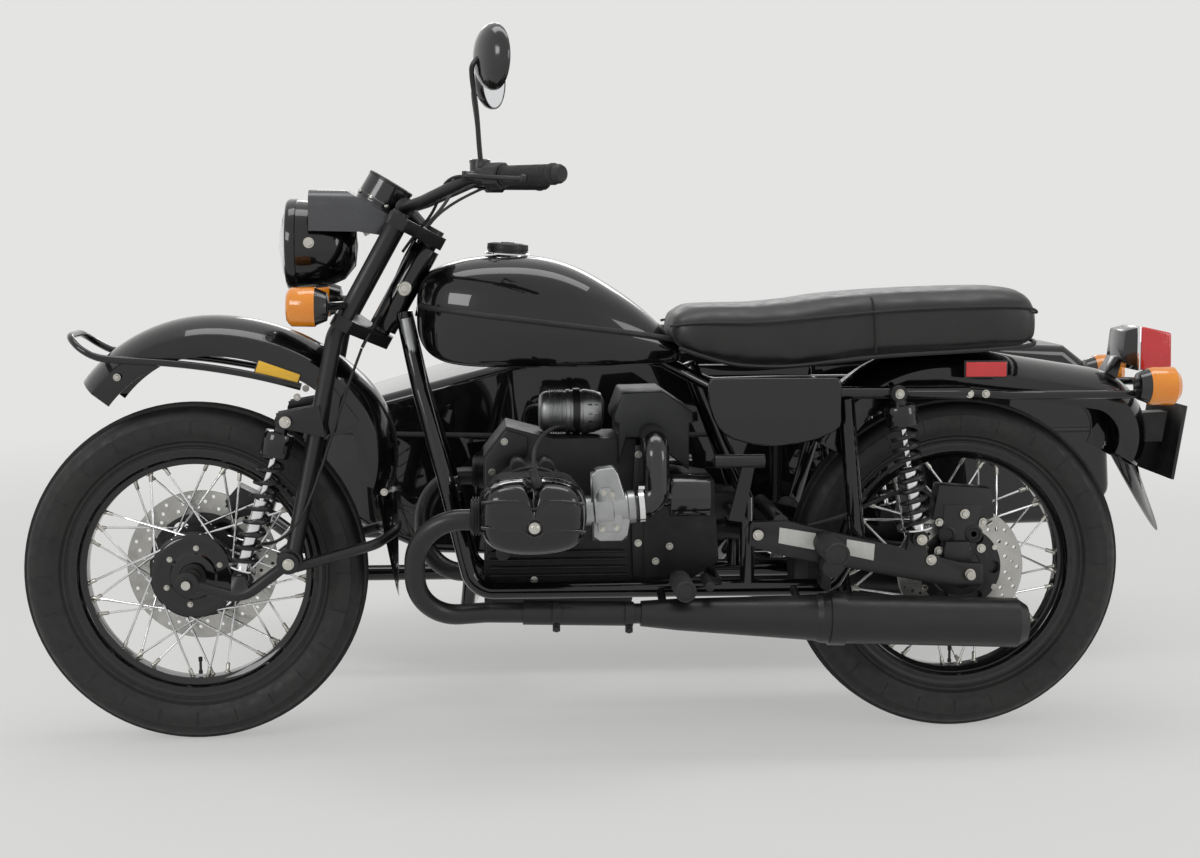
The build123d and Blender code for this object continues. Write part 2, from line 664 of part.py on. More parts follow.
def rocker_covers():
    """The domed cover on the end of each head, with its two cast ribs."""
    outline = [(-98, 26), (-64, 74), (62, 76), (90, 46), (96, 12), (90, -38), (62, -56), (0, -66),
               (-54, -60), (-92, -32)]
    body = slab(outline, COVER_Y + SEAT_GAP, COVER_END)
    body = fillet(body.faces().sort_by(Axis.Y)[-1].edges(), 14)
    one = Pos(CYLINDER[0], 0, CYLINDER[1]) * body
    return both_sides(one)


def alternator():
    """The alternator along the top of the crankcase."""
    body = turned([(0, 0), (30, 0), (40, 8), (40, 52), (43, 54), (43, 92), (38, 122), (22, 128), (0, 128)],
                  (664, 0, 306), (760, 0, 306))
    return body - bike_frame() - engine_block()


@cache
def air_box():
    """Air filter box behind the alternator."""
    body = slab([(814, 210), (814, 290), (806, 292), (806, 306), (822, 350), (900, 352), (958, 312),
                 (958, 292), (950, 290), (950, 200), (868, 264), (830, 264)], -92, 92)
    return body - bike_frame() - engine_block() - fuel_tank()


def intakes():
    """Throttle body, elbow and resonator on each side."""
    throttle = rod((722, -205, 140), (842, -205, 150), 27)
    throttle += slab([(756, 90), (752, 218), (800, 224), (828, 130), (820, 92)], -226, -184)
    elbow = pipe([(838, -205, 150), (876, -203, 150), (876, -196, 262), (876, -92 - SEAT_GAP, 268)],
                 25, [34, 30])
    can = rod((906, -150, 162), (980, -150, 162), 40)
    link = rod((880, -190, 162), (912, -160, 162), 18)
    return both_sides(throttle + elbow + can + link) - cylinders() - air_box()


EXHAUST_R = 19
SILENCER_Y = 192
SILENCER_R = 47


@cache
def exhaust_pipes():
    """Header pipes that leave the heads forwards, turn back and run to the silencers."""
    path = [(CYLINDER[0] - 86 - SEAT_GAP, -286, 140), (430, -284, 144), (430, -226, -50),
            (560, -SILENCER_Y, -50), (848, -SILENCER_Y, -56)]
    left = pipe(path, EXHAUST_R, [90, 90, 60])
    left += turned([(0, 0), (26, 0), (26, 12), (0, 12)], path[0], path[1])
    left += rod((628, -SILENCER_Y, -51), (832, -SILENCER_Y, -56), 23)
    return both_sides(left) - cylinders()


@cache
def silencers():
    """Long tapered silencers, each with a strap that hangs it from the frame."""
    start, end = (848 + SEAT_GAP, -SILENCER_Y, -56), (1583, -SILENCER_Y, -84)
    left = turned([(0, 0), (24, 0), (30, 70), (SILENCER_R - 4, 330), (SILENCER_R, 340), (SILENCER_R, 716),
                   (SILENCER_R - 12, 735), (20, 735), (20, 640), (0, 640)], start, end)
    left += turned([(40, 356), (51, 356), (51, 386), (40, 386)], start, end)
    for x, z in ((894, -56), (1150, -42)):
        left += rod((x, -SILENCER_Y + 16, z), (x, -CRADLE_Y - 8, CRADLE_Z), 8)
    return both_sides(left) - bike_frame()


def kick_starter():
    """Kick lever with its foot pad, on the gearbox's left."""
    arm = slab([(1016, 116), (1046, 236), (1068, 236), (1044, 112)], -172, -158)
    arm += cross_rod(1031, 124, -172, -55, 10)
    arm += rod((990, -165, 227), (1084, -165, 227), 13)
    return arm - engine_block() - bike_frame()


def foot_controls():
    """Pegs for rider and passenger, gear lever on the left and brake lever on the right."""
    pegs = cross_rod(924, 2, -170, -CRADLE_Y - 2, 10) + rod((924, -112, 2), (924, -112, -24), 8)
    pegs += cross_rod(924, 2, -280, -165, 19)
    pegs += cross_rod(1205, -14, -168, -CRADLE_Y - 2, 8) + rod((1205, -162, -14), (1205, -162, 66), 9)
    pegs += cross_rod(1203, 68, -285, -152, 22) + cross_rod(1212, 26, -190, -152, 19)
    pegs += rod((1006, -110, -14), (974, -150, 2), 7) + cross_rod(974, 2, -235, -146, 9)
    return both_sides(pegs) - bike_frame()


REAR_SHOCK_TOP = (REAR_X - 150, 353)
REAR_SHOCK_LOW = (REAR_X - 104, 76)
REAR_SHOCK_Y = 158


@cache
def swingarm():
    """Rear swinging arm: two flat arms, the cross tube ahead of the tyre and the shock lugs."""
    body = cross_rod(1122, 104, -ARM_Y, ARM_Y, 15)
    for side in (-1, 1):
        inner, outer = side * (ARM_Y - ARM_HALF), side * (ARM_Y + ARM_HALF)
        arm = slab([(1060, 62), (1062, 106), (1130, 108), (REAR[0] - 20, 24), (REAR[0] + 26, 20),
                    (REAR[0] + 26, -22), (REAR[0] - 40, -22), (1120, 42)], inner, outer)
        arm = fillet(arm.edges().filter_by(Axis.Y), 6)
        lug = slab([(REAR_X - 126, 36), (REAR_X - 118, 84), (REAR_X - 92, 84), (REAR_X - 80, 28)], inner,
                   outer)
        pin = cross_rod(*REAR_SHOCK_LOW, side * ARM_Y, side * (REAR_SHOCK_Y + EYE_HALF + 6), 5)
        arm += lug + pin
        arm -= cross_rod(*SWING_PIVOT, side * 50, side * 170, 9 + SEAT_GAP)
        arm -= cross_rod(REAR[0], 0, side * 50, side * 170, AXLE_R + SEAT_GAP)
        body += arm
    return body


def rear_shocks():
    """Both rear coil-over dampers."""
    return both_sides(coil_over(REAR_SHOCK_LOW, REAR_SHOCK_TOP, -REAR_SHOCK_Y, 28, 31, 7))


def final_drive():
    """Shaft and bevel box on the right of the rear wheel."""
    box = turned_y([(15 + SEAT_GAP, HUB_HALF + 8), (70, HUB_HALF + 8), (82, HUB_HALF + 16), (82, 104),
                    (60, ARM_Y - ARM_HALF - SEAT_GAP), (15 + SEAT_GAP, ARM_Y - ARM_HALF - SEAT_GAP)])
    box = Pos(*REAR) * box
    shaft = rod((1012, 76, 60), (REAR[0] - 70, 96, 4), 18)
    shaft += rod((1012, 76, 60), (1040, 77, 58.5), 24)
    return box + shaft - engine_block() - cross_rod(REAR[0], 0, 0, 200, 15 + SEAT_GAP) - bike_frame()


def rear_caliper():
    """Brake caliper over the rear disc, on its bracket from the left arm."""
    side = [(REAR_X - 64, 100), (REAR_X - 52, 168), (REAR_X + 50, 160), (REAR_X + 56, 104), (REAR_X + 12, 92)]
    body = slab(side, -DISC_SEAT_Y + 12, -DISC_SEAT_Y - DISC - 32)
    body -= cross_rod(REAR[0], 0, -DISC_SEAT_Y + 4, -DISC_SEAT_Y - DISC - 4, REAR_DISC_R + 4)
    arm = slab([(REAR_X - 48, 24), (REAR_X - 42, 130), (REAR_X + 32, 130), (REAR_X + 18, 24)],
               -DISC_SEAT_Y - DISC - 26, -DISC_SEAT_Y - DISC - 34)
    arm += slab([(REAR_X - 48, 12), (REAR_X - 42, 60), (REAR_X + 2, 60), (REAR_X + 12, 10)],
                -DISC_SEAT_Y - DISC - 26, -ARM_Y + ARM_HALF + SEAT_GAP)
    return body + arm - cross_rod(REAR[0], 0, -200, 0, 15 + SEAT_GAP) - swingarm()


@cache
def rear_mudguard():
    """The long rear guard under the seat, with its rubber flap."""
    first = ThreePointArc((REAR_X - 310, 0, 262), (REAR_X - 188, 0, 392), (REAR_X + 12, 0, 428))
    second = TangentArc((REAR_X + 12, 0, 428), (REAR_X + 266, 0, 388), tangent=first % 1)
    third = TangentArc((REAR_X + 266, 0, 388), (REAR_X + 362, 0, 190), tangent=second % 1)
    body = guard(Curve() + [first, second, third], 88, 76, 4)
    lip = [(REAR_X + 338, 208), (REAR_X + 396, 204), (REAR_X + 458, 6), (REAR_X + 446, 0)]
    flap = slab(lip, -92, 92)
    tilt = degrees(atan2(-70, 190))
    flap &= Pos(REAR_X + 365, 0, 196) * Rot(0, tilt, 0) * (Plane.XY.offset(-210) * extrude(
        Rot(0, 0, -90) * guard_section(88, 60, 5), amount=260))
    body += flap
    body += rod((REAR_X - 148, -RAIL_Y, RAIL_Z), (REAR_X - 148, -84, RAIL_Z + 10), 7)
    body += rod((REAR_X - 148, RAIL_Y, RAIL_Z), (REAR_X - 148, 84, RAIL_Z + 10), 7)
    return body - bike_frame() - seat_pad() - rear_rail()


@cache
def rear_lamps():
    """Tail lamp on the guard and two amber signals on the rail."""
    lamp = slab([(REAR_X + 318, 402), (REAR_X + 324, 462), (REAR_X + 350, 468), (REAR_X + 414, 456),
                 (REAR_X + 416, 390), (REAR_X + 362, 386)], -46, 46)
    lamp = fillet(lamp.edges().filter_by(Axis.Y), 6)
    lamp += slab([(REAR_X + 282, 360), (REAR_X + 312, 410), (REAR_X + 328, 410), (REAR_X + 312, 350)], -24,
                 24)
    pod = turned([(0, 0), (26, 6), (35, 30), (36, 72), (26, 82), (0, 82)], (REAR_X + 305, -158, 364),
                 (REAR_X + 405, -158, 364))
    pod += rod((REAR_X + 342, -150, 352), (REAR_X + 342, -112, RAIL_Z - 2), 7)
    return (lamp + both_sides(pod)) - rear_rail() - rear_mudguard()


def plate_bracket():
    """The blank plate on its bracket at the tail."""
    plate = slab([(REAR_X + 404, 176), (REAR_X + 426, 320), (REAR_X + 432, 319), (REAR_X + 410, 175)], -100,
                 100)
    bracket = slab([(REAR_X + 350, 240), (REAR_X + 332, 296), (REAR_X + 426, 300), (REAR_X + 416, 240)],
                   -20, 20)
    return biggest(plate + bracket - rear_mudguard() - rear_rail() - rear_lamps())


# Sidecar

def tub_side(inset):
    """Side outline of the sidecar's tub, moved inwards by an inset."""
    return [(120 + inset, 60 + inset), (92 + inset, 150), (140 + inset, 236 - inset), (700, 392 - inset),
            (1290, 420 - inset), (1860, 396 - inset), (1962 - inset, 320), (1980 - inset, 60),
            (1910 - inset, -8 + inset), (1500, -8 + inset), (1430, FLOOR_Z + inset), (430, FLOOR_Z + inset)]


def tub_plan(inset):
    """Plan outline of the tub: narrow at the nose, full at the seat, gently narrowed tail."""
    a, b = BODY_IN_Y + inset, BODY_OUT_Y - inset
    mid = (a + b) / 2
    return [(92 + inset, mid - 110), (92 + inset, mid + 110), (300, b - 66), (640, b), (1500, b),
            (1980 - inset, b - 50), (1980 - inset, a + 50), (1500, a), (640, a), (300, a + 66)]


def tub_shape(inset, soften):
    """The tub's outer form: its side outline cut to its plan outline."""
    a, b = BODY_IN_Y + inset, BODY_OUT_Y - inset
    shape = slab(tub_side(inset), a, b)
    plan = make_face(Polyline(*[(x, y, -100) for x, y in tub_plan(inset)], close=True))
    shape = shape & extrude(plan, amount=600)
    return shape


COCKPIT = (760, 1270)
LID = (1330, 1880)


@cache
def sidecar_body():
    """Hollow tub with the cockpit cut in its deck, a bulkhead behind the seat and the trunk opening."""
    shell = tub_shape(0, True) - tub_shape(BODY_SKIN, False)
    mid = (BODY_IN_Y + BODY_OUT_Y) / 2
    half = (BODY_OUT_Y - BODY_IN_Y) / 2
    shell += tub_shape(1, False) & Pos(1300, mid, 200) * Box(8, 2 * half, 700)
    well = Pos((COCKPIT[0] + COCKPIT[1]) / 2, mid, 400) * Box(COCKPIT[1] - COCKPIT[0], 2 * half - 90, 120)
    well = fillet(well.edges().filter_by(Axis.Z), 60)
    shell -= well
    shell -= lid_cutter(LID_GAP)
    foot = [(1306, 412), (1308, 422), (1322, 432), (1327, 424), (1324, 412)]
    for y in (mid - HINGE_SPREAD, mid + HINGE_SPREAD):
        shell += cross_rod(*HINGE, y - 30, y + 30, HINGE_PIN_R)
        for near, far in ((-30, -22), (22, 30)):
            shell += cross_rod(*HINGE, y + near, y + far, 7) + slab(foot, y + near, y + far)
    return shell


def lid_cutter(grow):
    """The trunk lid's outline as a deep block."""
    mid = (BODY_IN_Y + BODY_OUT_Y) / 2
    wide = BODY_OUT_Y - BODY_IN_Y - 140 + 2 * grow
    block = Pos((LID[0] + LID[1]) / 2, mid, 400) * Box(LID[1] - LID[0] + 2 * grow, wide, 130)
    return fillet(block.edges().filter_by(Axis.Z), 30 + grow)


def trunk_lid():
    """Trunk lid: the tub's own skin in the lid's outline, with a handle."""
    lid = (tub_shape(0, True) - tub_shape(BODY_SKIN, False)) & lid_cutter(0)
    mid = (BODY_IN_Y + BODY_OUT_Y) / 2
    knob = pipe([(1840, mid - 45, 394), (1846, mid - 45, 420), (1846, mid + 45, 420),
                 (1840, mid + 45, 394)], 5, 12)
    leaf = [(1329, 421), (1334, 430), (1354, 420), (1354, 411), (1334, 411)]
    for y in (mid - HINGE_SPREAD, mid + HINGE_SPREAD):
        eye = cross_rod(*HINGE, y - 21.7, y + 21.7, 7.5) + slab(leaf, y - 21.7, y + 21.7)
        lid += eye - cross_rod(*HINGE, y - 40, y + 40, HINGE_PIN_R + RUNNING_GAP)
    return lid + knob


def sidecar_seat():
    """Passenger's cushion and backrest."""
    mid = (BODY_IN_Y + BODY_OUT_Y) / 2
    wide = BODY_OUT_Y - BODY_IN_Y - 2 * BODY_SKIN - 60
    z = FLOOR_Z + BODY_SKIN + 90
    cushion = Pos(1080, mid, z) * Box(400, wide, 110)
    cushion = fillet(cushion.edges(), 24)
    low, high = FLOOR_Z + BODY_SKIN + SEAT_GAP, z - 55
    base = Pos(1080, mid, (low + high) / 2) * Box(360, wide - 40, high - low)
    back = Pos(1238.3, mid, 244.3) * Rot(0, 8, 0) * Box(80, wide, 300)
    back = fillet(back.edges(), 24)
    back -= Pos(1080, mid, z) * Box(400 + 1, wide + 10, 111)
    return cushion + base + back - sidecar_body()


def sidecar_chassis():
    """Tube ladder under the tub, its four struts to the bike, body rests and the front bumper."""
    rails = pipe([(1660, CHASSIS_IN_Y, CHASSIS_Z), (250, CHASSIS_IN_Y, CHASSIS_Z),
                  (40, CHASSIS_IN_Y + 90, 40), (40, CHASSIS_OUT_Y - 90, 40),
                  (250, CHASSIS_OUT_Y, CHASSIS_Z), (1660, CHASSIS_OUT_Y, CHASSIS_Z)], CHASSIS_R, 60)
    for x in (420, 900, 1290, 1630):
        rails += cross_rod(x, CHASSIS_Z, CHASSIS_IN_Y, CHASSIS_OUT_Y, CHASSIS_R - 3)
    rest = FLOOR_Z - SEAT_GAP - CHASSIS_Z
    for x in (520, 1380):
        for y in (CHASSIS_IN_Y, CHASSIS_OUT_Y):
            rails += rod((x, y, CHASSIS_Z), (x, y, CHASSIS_Z + rest), 15)
    struts = [
        ((522, CRADLE_Y + 2, -94), (560, CHASSIS_IN_Y, CHASSIS_Z)),
        ((1062, CRADLE_Y + 4, 34), (1050, CHASSIS_IN_Y, CHASSIS_Z)),
        ((446, 62, 330), (520, CHASSIS_IN_Y - 8, CHASSIS_Z)),
        ((1250, RAIL_Y, 316), (1200, CHASSIS_IN_Y - 8, CHASSIS_Z)),
    ]
    for start, end in struts:
        rails += rod(start, end, 14)
    rails += rod((522, CRADLE_Y, -96), (530, CRADLE_Y, -20), 14)
    rails += cross_rod(SIDE_PIVOT[0], SIDE_PIVOT[1], CHASSIS_OUT_Y, SIDE_ARM_Y - 13, 16)
    rails += rod((SIDE_PIVOT[0], CHASSIS_OUT_Y, CHASSIS_Z), (SIDE_PIVOT[0], CHASSIS_OUT_Y, SIDE_PIVOT[1]), 16)
    return rails - bike_frame() - exhaust_pipes() - silencers()


SIDE_PIVOT = (1060, -82)
SIDE_ARM_Y = TRACK - 92
SIDE_SHOCK_TOP = (1330, 300)


@cache
def sidecar_arm():
    """Trailing arm of the sidecar wheel, with its stub axle."""
    arm = slab([(1040, -102), (1044, -62), (1090, -54), (SIDE[0] + 20, 22), (SIDE[0] + 24, -22),
                (1090, -104)],
               SIDE_ARM_Y - 11, SIDE_ARM_Y + 11)
    arm = fillet(arm.edges().filter_by(Axis.Y), 10)
    arm += cross_rod(SIDE[0], 0, SIDE_ARM_Y, TRACK + HUB_HALF + 16, AXLE_R)
    arm += cross_rod(SIDE[0], 0, SIDE_ARM_Y, TRACK - HUB_HALF - 5, 15)
    return arm


def sidecar_mudguard():
    """Round guard over the sidecar wheel, on two stays from the chassis."""
    r = TYRE_R + 52
    x = SIDE[0]
    path = ThreePointArc((x - r, TRACK, 10), (x, TRACK, r), (x + r, TRACK, 10))
    start = Plane(origin=path @ 0, x_dir=(0, 1, 0), z_dir=path % 0)
    body = sweep(start * guard_section(86, 70, 4), path=path)
    for dx in (-250, 250):
        skirt = (r - 62) ** 2 - dx ** 2
        body += rod((x + dx, TRACK - 84, skirt ** 0.5), (x + dx * 0.7, CHASSIS_OUT_Y + 60, CHASSIS_Z), 9)
        body += cross_rod(x + dx * 0.7, CHASSIS_Z, CHASSIS_OUT_Y + CHASSIS_R + SEAT_GAP, CHASSIS_OUT_Y + 68,
                          10)
    return body - sidecar_arm()


def write_all():
    """Build every piece and write it to its own file."""
    os.makedirs("parts", exist_ok=True)
    wheels = (("front", FRONT, -1), ("rear", REAR, 1), ("sidecar", SIDE, 1))
    for name, centre, cover_side in wheels:
        keep(f"{name}_tyre", tyre(centre))
        keep(f"{name}_wheel", wire_wheel(centre, cover_side))
    keep("front_disc", brake_disc(FRONT, 1, FRONT_DISC_R))
    keep("rear_disc", brake_disc(REAR, -1, REAR_DISC_R))
    keep("front_axle", axle(FRONT, -LINK_Y + LINK_R + 1 + SEAT_GAP, LINK_Y - LINK_R - 1 - SEAT_GAP))
    keep("rear_axle", axle(REAR, -ARM_Y + ARM_HALF + SEAT_GAP, ARM_Y - ARM_HALF - SEAT_GAP))
    pieces = {
        "fork": fork, "leading_links": leading_links, "front_shocks": front_shocks_only,
        "headlamp": headlamp, "headlamp_cowl": cowl, "handlebar": handlebar,
        "hand_controls": hand_controls, "mirrors": mirrors, "front_mudguard": front_mudguard,
        "mudguard_hoop": guard_hoop, "front_signals": front_signals, "front_caliper": front_caliper,
        "bike_frame": bike_frame, "rear_rail": rear_rail, "fuel_tank": fuel_tank, "seat": seat_pad,
        "side_covers": side_covers, "engine_block": engine_block, "cylinders": cylinders,
        "rocker_covers": rocker_covers, "alternator": alternator, "air_box": air_box,
        "intakes": intakes, "exhaust_pipes": exhaust_pipes, "silencers": silencers,
        "kick_starter": kick_starter, "foot_controls": foot_controls, "swingarm": swingarm,
        "rear_shocks": rear_shocks, "final_drive": final_drive, "rear_caliper": rear_caliper,
        "rear_mudguard": rear_mudguard, "rear_lamps": rear_lamps, "plate_bracket": plate_bracket,
        "sidecar_body": sidecar_body, "trunk_lid": trunk_lid, "sidecar_seat": sidecar_seat,
        "sidecar_chassis": sidecar_chassis, "sidecar_arm": sidecar_arm,
        "sidecar_mudguard": sidecar_mudguard,
    }
    for name, build in pieces.items():
        keep(name, build())


write_all()
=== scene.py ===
"""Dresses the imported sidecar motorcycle: finishes, detailed pieces, studio and camera.

Sizes are in millimetres and follow the machine as the solids do: X rearwards from the front axle, Y to the
rider's right from the motorcycle's middle, Z up from axle height. spot() turns them into metres on the floor.
"""

from __future__ import annotations

import json
import logging
from dataclasses import dataclass
from enum import Enum
from functools import cache
from math import atan2, cos, pi, radians, sin
from typing import Sequence

import bpy
from mathutils import Matrix, Vector

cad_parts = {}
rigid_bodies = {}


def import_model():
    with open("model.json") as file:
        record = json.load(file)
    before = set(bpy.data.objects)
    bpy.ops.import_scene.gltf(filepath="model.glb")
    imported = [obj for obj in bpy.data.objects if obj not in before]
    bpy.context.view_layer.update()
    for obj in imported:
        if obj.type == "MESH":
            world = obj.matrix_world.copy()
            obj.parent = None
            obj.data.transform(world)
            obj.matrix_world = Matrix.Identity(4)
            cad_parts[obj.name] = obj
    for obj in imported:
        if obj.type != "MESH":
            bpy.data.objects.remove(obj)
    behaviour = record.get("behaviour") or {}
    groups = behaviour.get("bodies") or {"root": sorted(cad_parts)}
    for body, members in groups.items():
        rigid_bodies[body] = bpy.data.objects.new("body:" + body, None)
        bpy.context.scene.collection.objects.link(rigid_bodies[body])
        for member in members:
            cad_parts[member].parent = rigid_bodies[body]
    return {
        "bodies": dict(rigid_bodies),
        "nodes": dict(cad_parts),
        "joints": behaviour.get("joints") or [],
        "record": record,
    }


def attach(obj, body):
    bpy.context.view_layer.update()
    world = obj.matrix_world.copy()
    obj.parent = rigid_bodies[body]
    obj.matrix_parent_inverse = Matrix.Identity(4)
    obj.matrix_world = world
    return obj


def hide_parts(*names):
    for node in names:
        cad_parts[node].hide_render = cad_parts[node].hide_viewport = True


LOG = logging.getLogger("sidecar_outfit")
LEFT, RIGHT = -1, 1
AXLE_HEIGHT = 330.0
FOOTPRINT = (825.0, 413.5)

ACROSS = Vector((0, 1, 0))
WELD_GAP = 0.00002
SEAM_GAP = 0.000004
FLAT_ANGLE = 0.6
SHARP_ANGLE = 38.0

Outline = Sequence[tuple[float, float]]
Place = tuple[float, float, float]
Piece = bpy.types.Object
Socket = bpy.types.NodeSocket


def spot(x: float, y: float, z: float) -> Vector:
    """Turn a place on the machine in millimetres into the frame's metres.

    Args:
        x: Distance behind the front axle.
        y: Distance to the rider's right of the motorcycle's middle.
        z: Height above the axles.

    Returns:
        The same place in metres above the middle of the outfit's floor.
    """
    return Vector(((x - FOOTPRINT[0]) / 1000, (y - FOOTPRINT[1]) / 1000, (z + AXLE_HEIGHT) / 1000))


def toned(code: str) -> tuple[float, float, float, float]:
    """Turn an sRGB hex code into a linear colour with full alpha.

    Args:
        code: The colour as #rrggbb.

    Returns:
        Red, green, blue and alpha.
    """
    channels = [int(code[i:i + 2], 16) / 255 for i in (1, 3, 5)]
    linear = [c / 12.92 if c <= 0.04045 else ((c + 0.055) / 1.055) ** 2.4 for c in channels]
    return (*linear, 1.0)


# Finishes

class Surface(Enum):
    """How a surface was worked, which decides its relief."""

    ENAMEL = "sprayed and baked enamel"
    POWDER = "powder coat"
    CAST = "sand casting"
    BRUSHED = "ground or brushed metal"
    POLISHED = "polished or plated metal"
    MOULDED = "grained moulding"
    HIDE = "pressed vinyl grain"
    CLEAR = "clear glass or lens"


def add_node(tree: bpy.types.NodeTree, kind: str, settings: dict, links: dict) -> bpy.types.Node:
    """Add a shader node with its settings and links.

    Args:
        tree: The material's node tree.
        kind: The node's type name.
        settings: Attribute or input-socket values by name or number.
        links: Sockets to feed each input, by name or number.

    Returns:
        The new node.
    """
    node = tree.nodes.new(kind)
    for key, value in settings.items():
        if isinstance(key, str) and hasattr(node, key):
            setattr(node, key, value)
        else:
            node.inputs[key].default_value = value
    for key, source in links.items():
        tree.links.new(source, node.inputs[key])
    return node


@dataclass(frozen=True)
class Finish:
    """A real material, with the way its surface was made."""

    name: str
    colour: str
    second: str
    surface: Surface
    metallic: float = 0.0
    roughness: float = 0.4
    rough_span: float = 0.1
    grain_mm: float = 2.0
    relief: float = 0.2
    relief_mm: float = 0.1
    coat: float = 0.0
    coat_roughness: float = 0.04
    ior: float = 1.5
    transmission: float = 0.0
    sheen: float = 0.0
    patch_mm: float = 90.0
    specular: float = 0.5
    slot: str = "satin_black"

    def height(self, tree: bpy.types.NodeTree, where: Socket) -> Socket:
        """Make the relief's height pattern.

        Args:
            tree: The material's node tree.
            where: Object coordinates in metres.

        Returns:
            A height socket.
        """
        scale = 1000 / self.grain_mm
        if self.surface is Surface.HIDE:
            cells = add_node(
                tree, "ShaderNodeTexVoronoi", {"feature": "SMOOTH_F1", "Scale": scale}, {"Vector": where})
            folds = add_node(
                tree, "ShaderNodeTexNoise", {"Scale": scale / 5, "Detail": 4.0}, {"Vector": where})
            both = add_node(tree, "ShaderNodeMath", {"operation": "MULTIPLY_ADD", 1: 0.7},
                            {0: cells.outputs["Distance"], 2: folds.outputs[0]})
            return both.outputs[0]
        if self.surface is Surface.MOULDED:
            cells = add_node(
                tree, "ShaderNodeTexVoronoi", {"Scale": scale, "Randomness": 1.0}, {"Vector": where})
            return cells.outputs["Distance"]
        if self.surface is Surface.BRUSHED:
            spread = add_node(tree, "ShaderNodeMapping", {"Scale": (1.0, 1.0, 14.0)}, {"Vector": where})
            lines = add_node(tree, "ShaderNodeTexNoise", {"Scale": scale / 4, "Detail": 3.0},
                             {"Vector": spread.outputs[0]})
            return lines.outputs[0]
        detail = 6.0 if self.surface is Surface.CAST else 2.0
        noise = add_node(tree, "ShaderNodeTexNoise", {"Scale": scale, "Detail": detail, "Roughness": 0.6},
                         {"Vector": where})
        return noise.outputs[0]

    @cache
    def material(self) -> bpy.types.Material:
        """Build the material once, and hand the same one back after that.

        Returns:
            The finished material.
        """
        made = bpy.data.materials.new(self.name)
        made.use_nodes = True
        tree = made.node_tree
        shader = tree.nodes["Principled BSDF"]
        where = add_node(tree, "ShaderNodeTexCoord", {}, {}).outputs["Object"]
        patches = add_node(
            tree, "ShaderNodeTexNoise", {"Scale": 1000 / self.patch_mm, "Detail": 5.0, "Roughness": 0.62},
            {"Vector": where})
        spread = add_node(tree, "ShaderNodeMapRange", {1: 0.34, 2: 0.66}, {0: patches.outputs[0]})
        blend = add_node(
            tree, "ShaderNodeMix", {"data_type": "RGBA", 6: toned(self.colour), 7: toned(self.second)},
            {0: spread.outputs[0]})
        tree.links.new(blend.outputs[2], shader.inputs["Base Color"])
        smear = add_node(
            tree, "ShaderNodeTexNoise", {"Scale": 3500 / self.patch_mm, "Detail": 4.0}, {"Vector": where})
        rough = add_node(
            tree, "ShaderNodeMapRange", {1: 0.3, 2: 0.7, 3: max(0.01, self.roughness - self.rough_span),
            4: self.roughness + self.rough_span}, {0: smear.outputs[0]})
        tree.links.new(rough.outputs[0], shader.inputs["Roughness"])
        if self.surface is not Surface.CLEAR:
            bump = add_node(
                tree, "ShaderNodeBump", {"Strength": self.relief, "Distance": self.relief_mm / 1000},
                {"Height": self.height(tree, where)})
            tree.links.new(bump.outputs[0], shader.inputs["Normal"])
        shader.inputs["Metallic"].default_value = self.metallic
        shader.inputs["IOR"].default_value = self.ior
        shader.inputs["Coat Weight"].default_value = self.coat
        shader.inputs["Coat Roughness"].default_value = self.coat_roughness
        shader.inputs["Transmission Weight"].default_value = self.transmission
        shader.inputs["Sheen Weight"].default_value = self.sheen
        shader.inputs["Specular IOR Level"].default_value = self.specular
        return made


# Baked black enamel: deep, wet-looking, with the faint orange peel of sprayed paint and a dusting of dirt
BLACK_ENAMEL = Finish(
    "black_baked_enamel", "#060607", "#0b0b0c", Surface.ENAMEL, roughness=0.3, rough_span=0.05, grain_mm=7,
    relief=0.05, relief_mm=0.25, coat=1.0, coat_roughness=0.03, specular=0.1, slot="gloss_black")
# Powder-coated steel: even, satin, with a fine pebble that softens every highlight
SATIN_POWDER = Finish(
    "satin_black_powder_coat", "#101011", "#181819", Surface.POWDER, roughness=0.38, rough_span=0.08,
    grain_mm=1.6, relief=0.16, relief_mm=0.12)
# Sand-cast aluminium painted black: coarse skin that greys where dust sits
BLACK_CASTING = Finish(
    "black_painted_sand_casting", "#111112", "#1b1b1c", Surface.CAST, roughness=0.44, rough_span=0.1,
    grain_mm=2.4, relief=0.35, relief_mm=0.25, specular=0.4, slot="cast_black")
# High-temperature exhaust paint: dull, slightly browned by heat
HEAT_PAINT = Finish(
    "matt_exhaust_paint", "#141415", "#1b1a1a", Surface.POWDER, roughness=0.36, rough_span=0.06, grain_mm=1.4,
    relief=0.16, relief_mm=0.12, slot="exhaust_black")
# Dark grey satin paint on the lamp's cowl; the same grey also makes the painted highlight line on the tank's
# rubber bands
GREY_SATIN_AND_HIGHLIGHT = Finish(
    "dark_grey_satin_paint", "#3a3b3e", "#434448", Surface.ENAMEL, roughness=0.3, rough_span=0.06, grain_mm=5,
    relief=0.06, relief_mm=0.2, coat=0.4, coat_roughness=0.12, slot="grey_satin")
# Bead-blasted cast aluminium: pale, matt, finely pitted
BLASTED_ALUMINIUM = Finish(
    "bead_blasted_cast_aluminium", "#9a9b9c", "#b3b4b4", Surface.CAST, metallic=1.0, roughness=0.42,
    rough_span=0.1, grain_mm=1.6, relief=0.25, relief_mm=0.15, slot="aluminium")
# Drawn stainless spoke wire, a little smeared
STAINLESS = Finish(
    "stainless_spoke_wire", "#dfe0e1", "#ececec", Surface.POLISHED, metallic=1.0, roughness=0.18,
    rough_span=0.05, grain_mm=3, relief=0.03, relief_mm=0.05, slot="bright_steel")
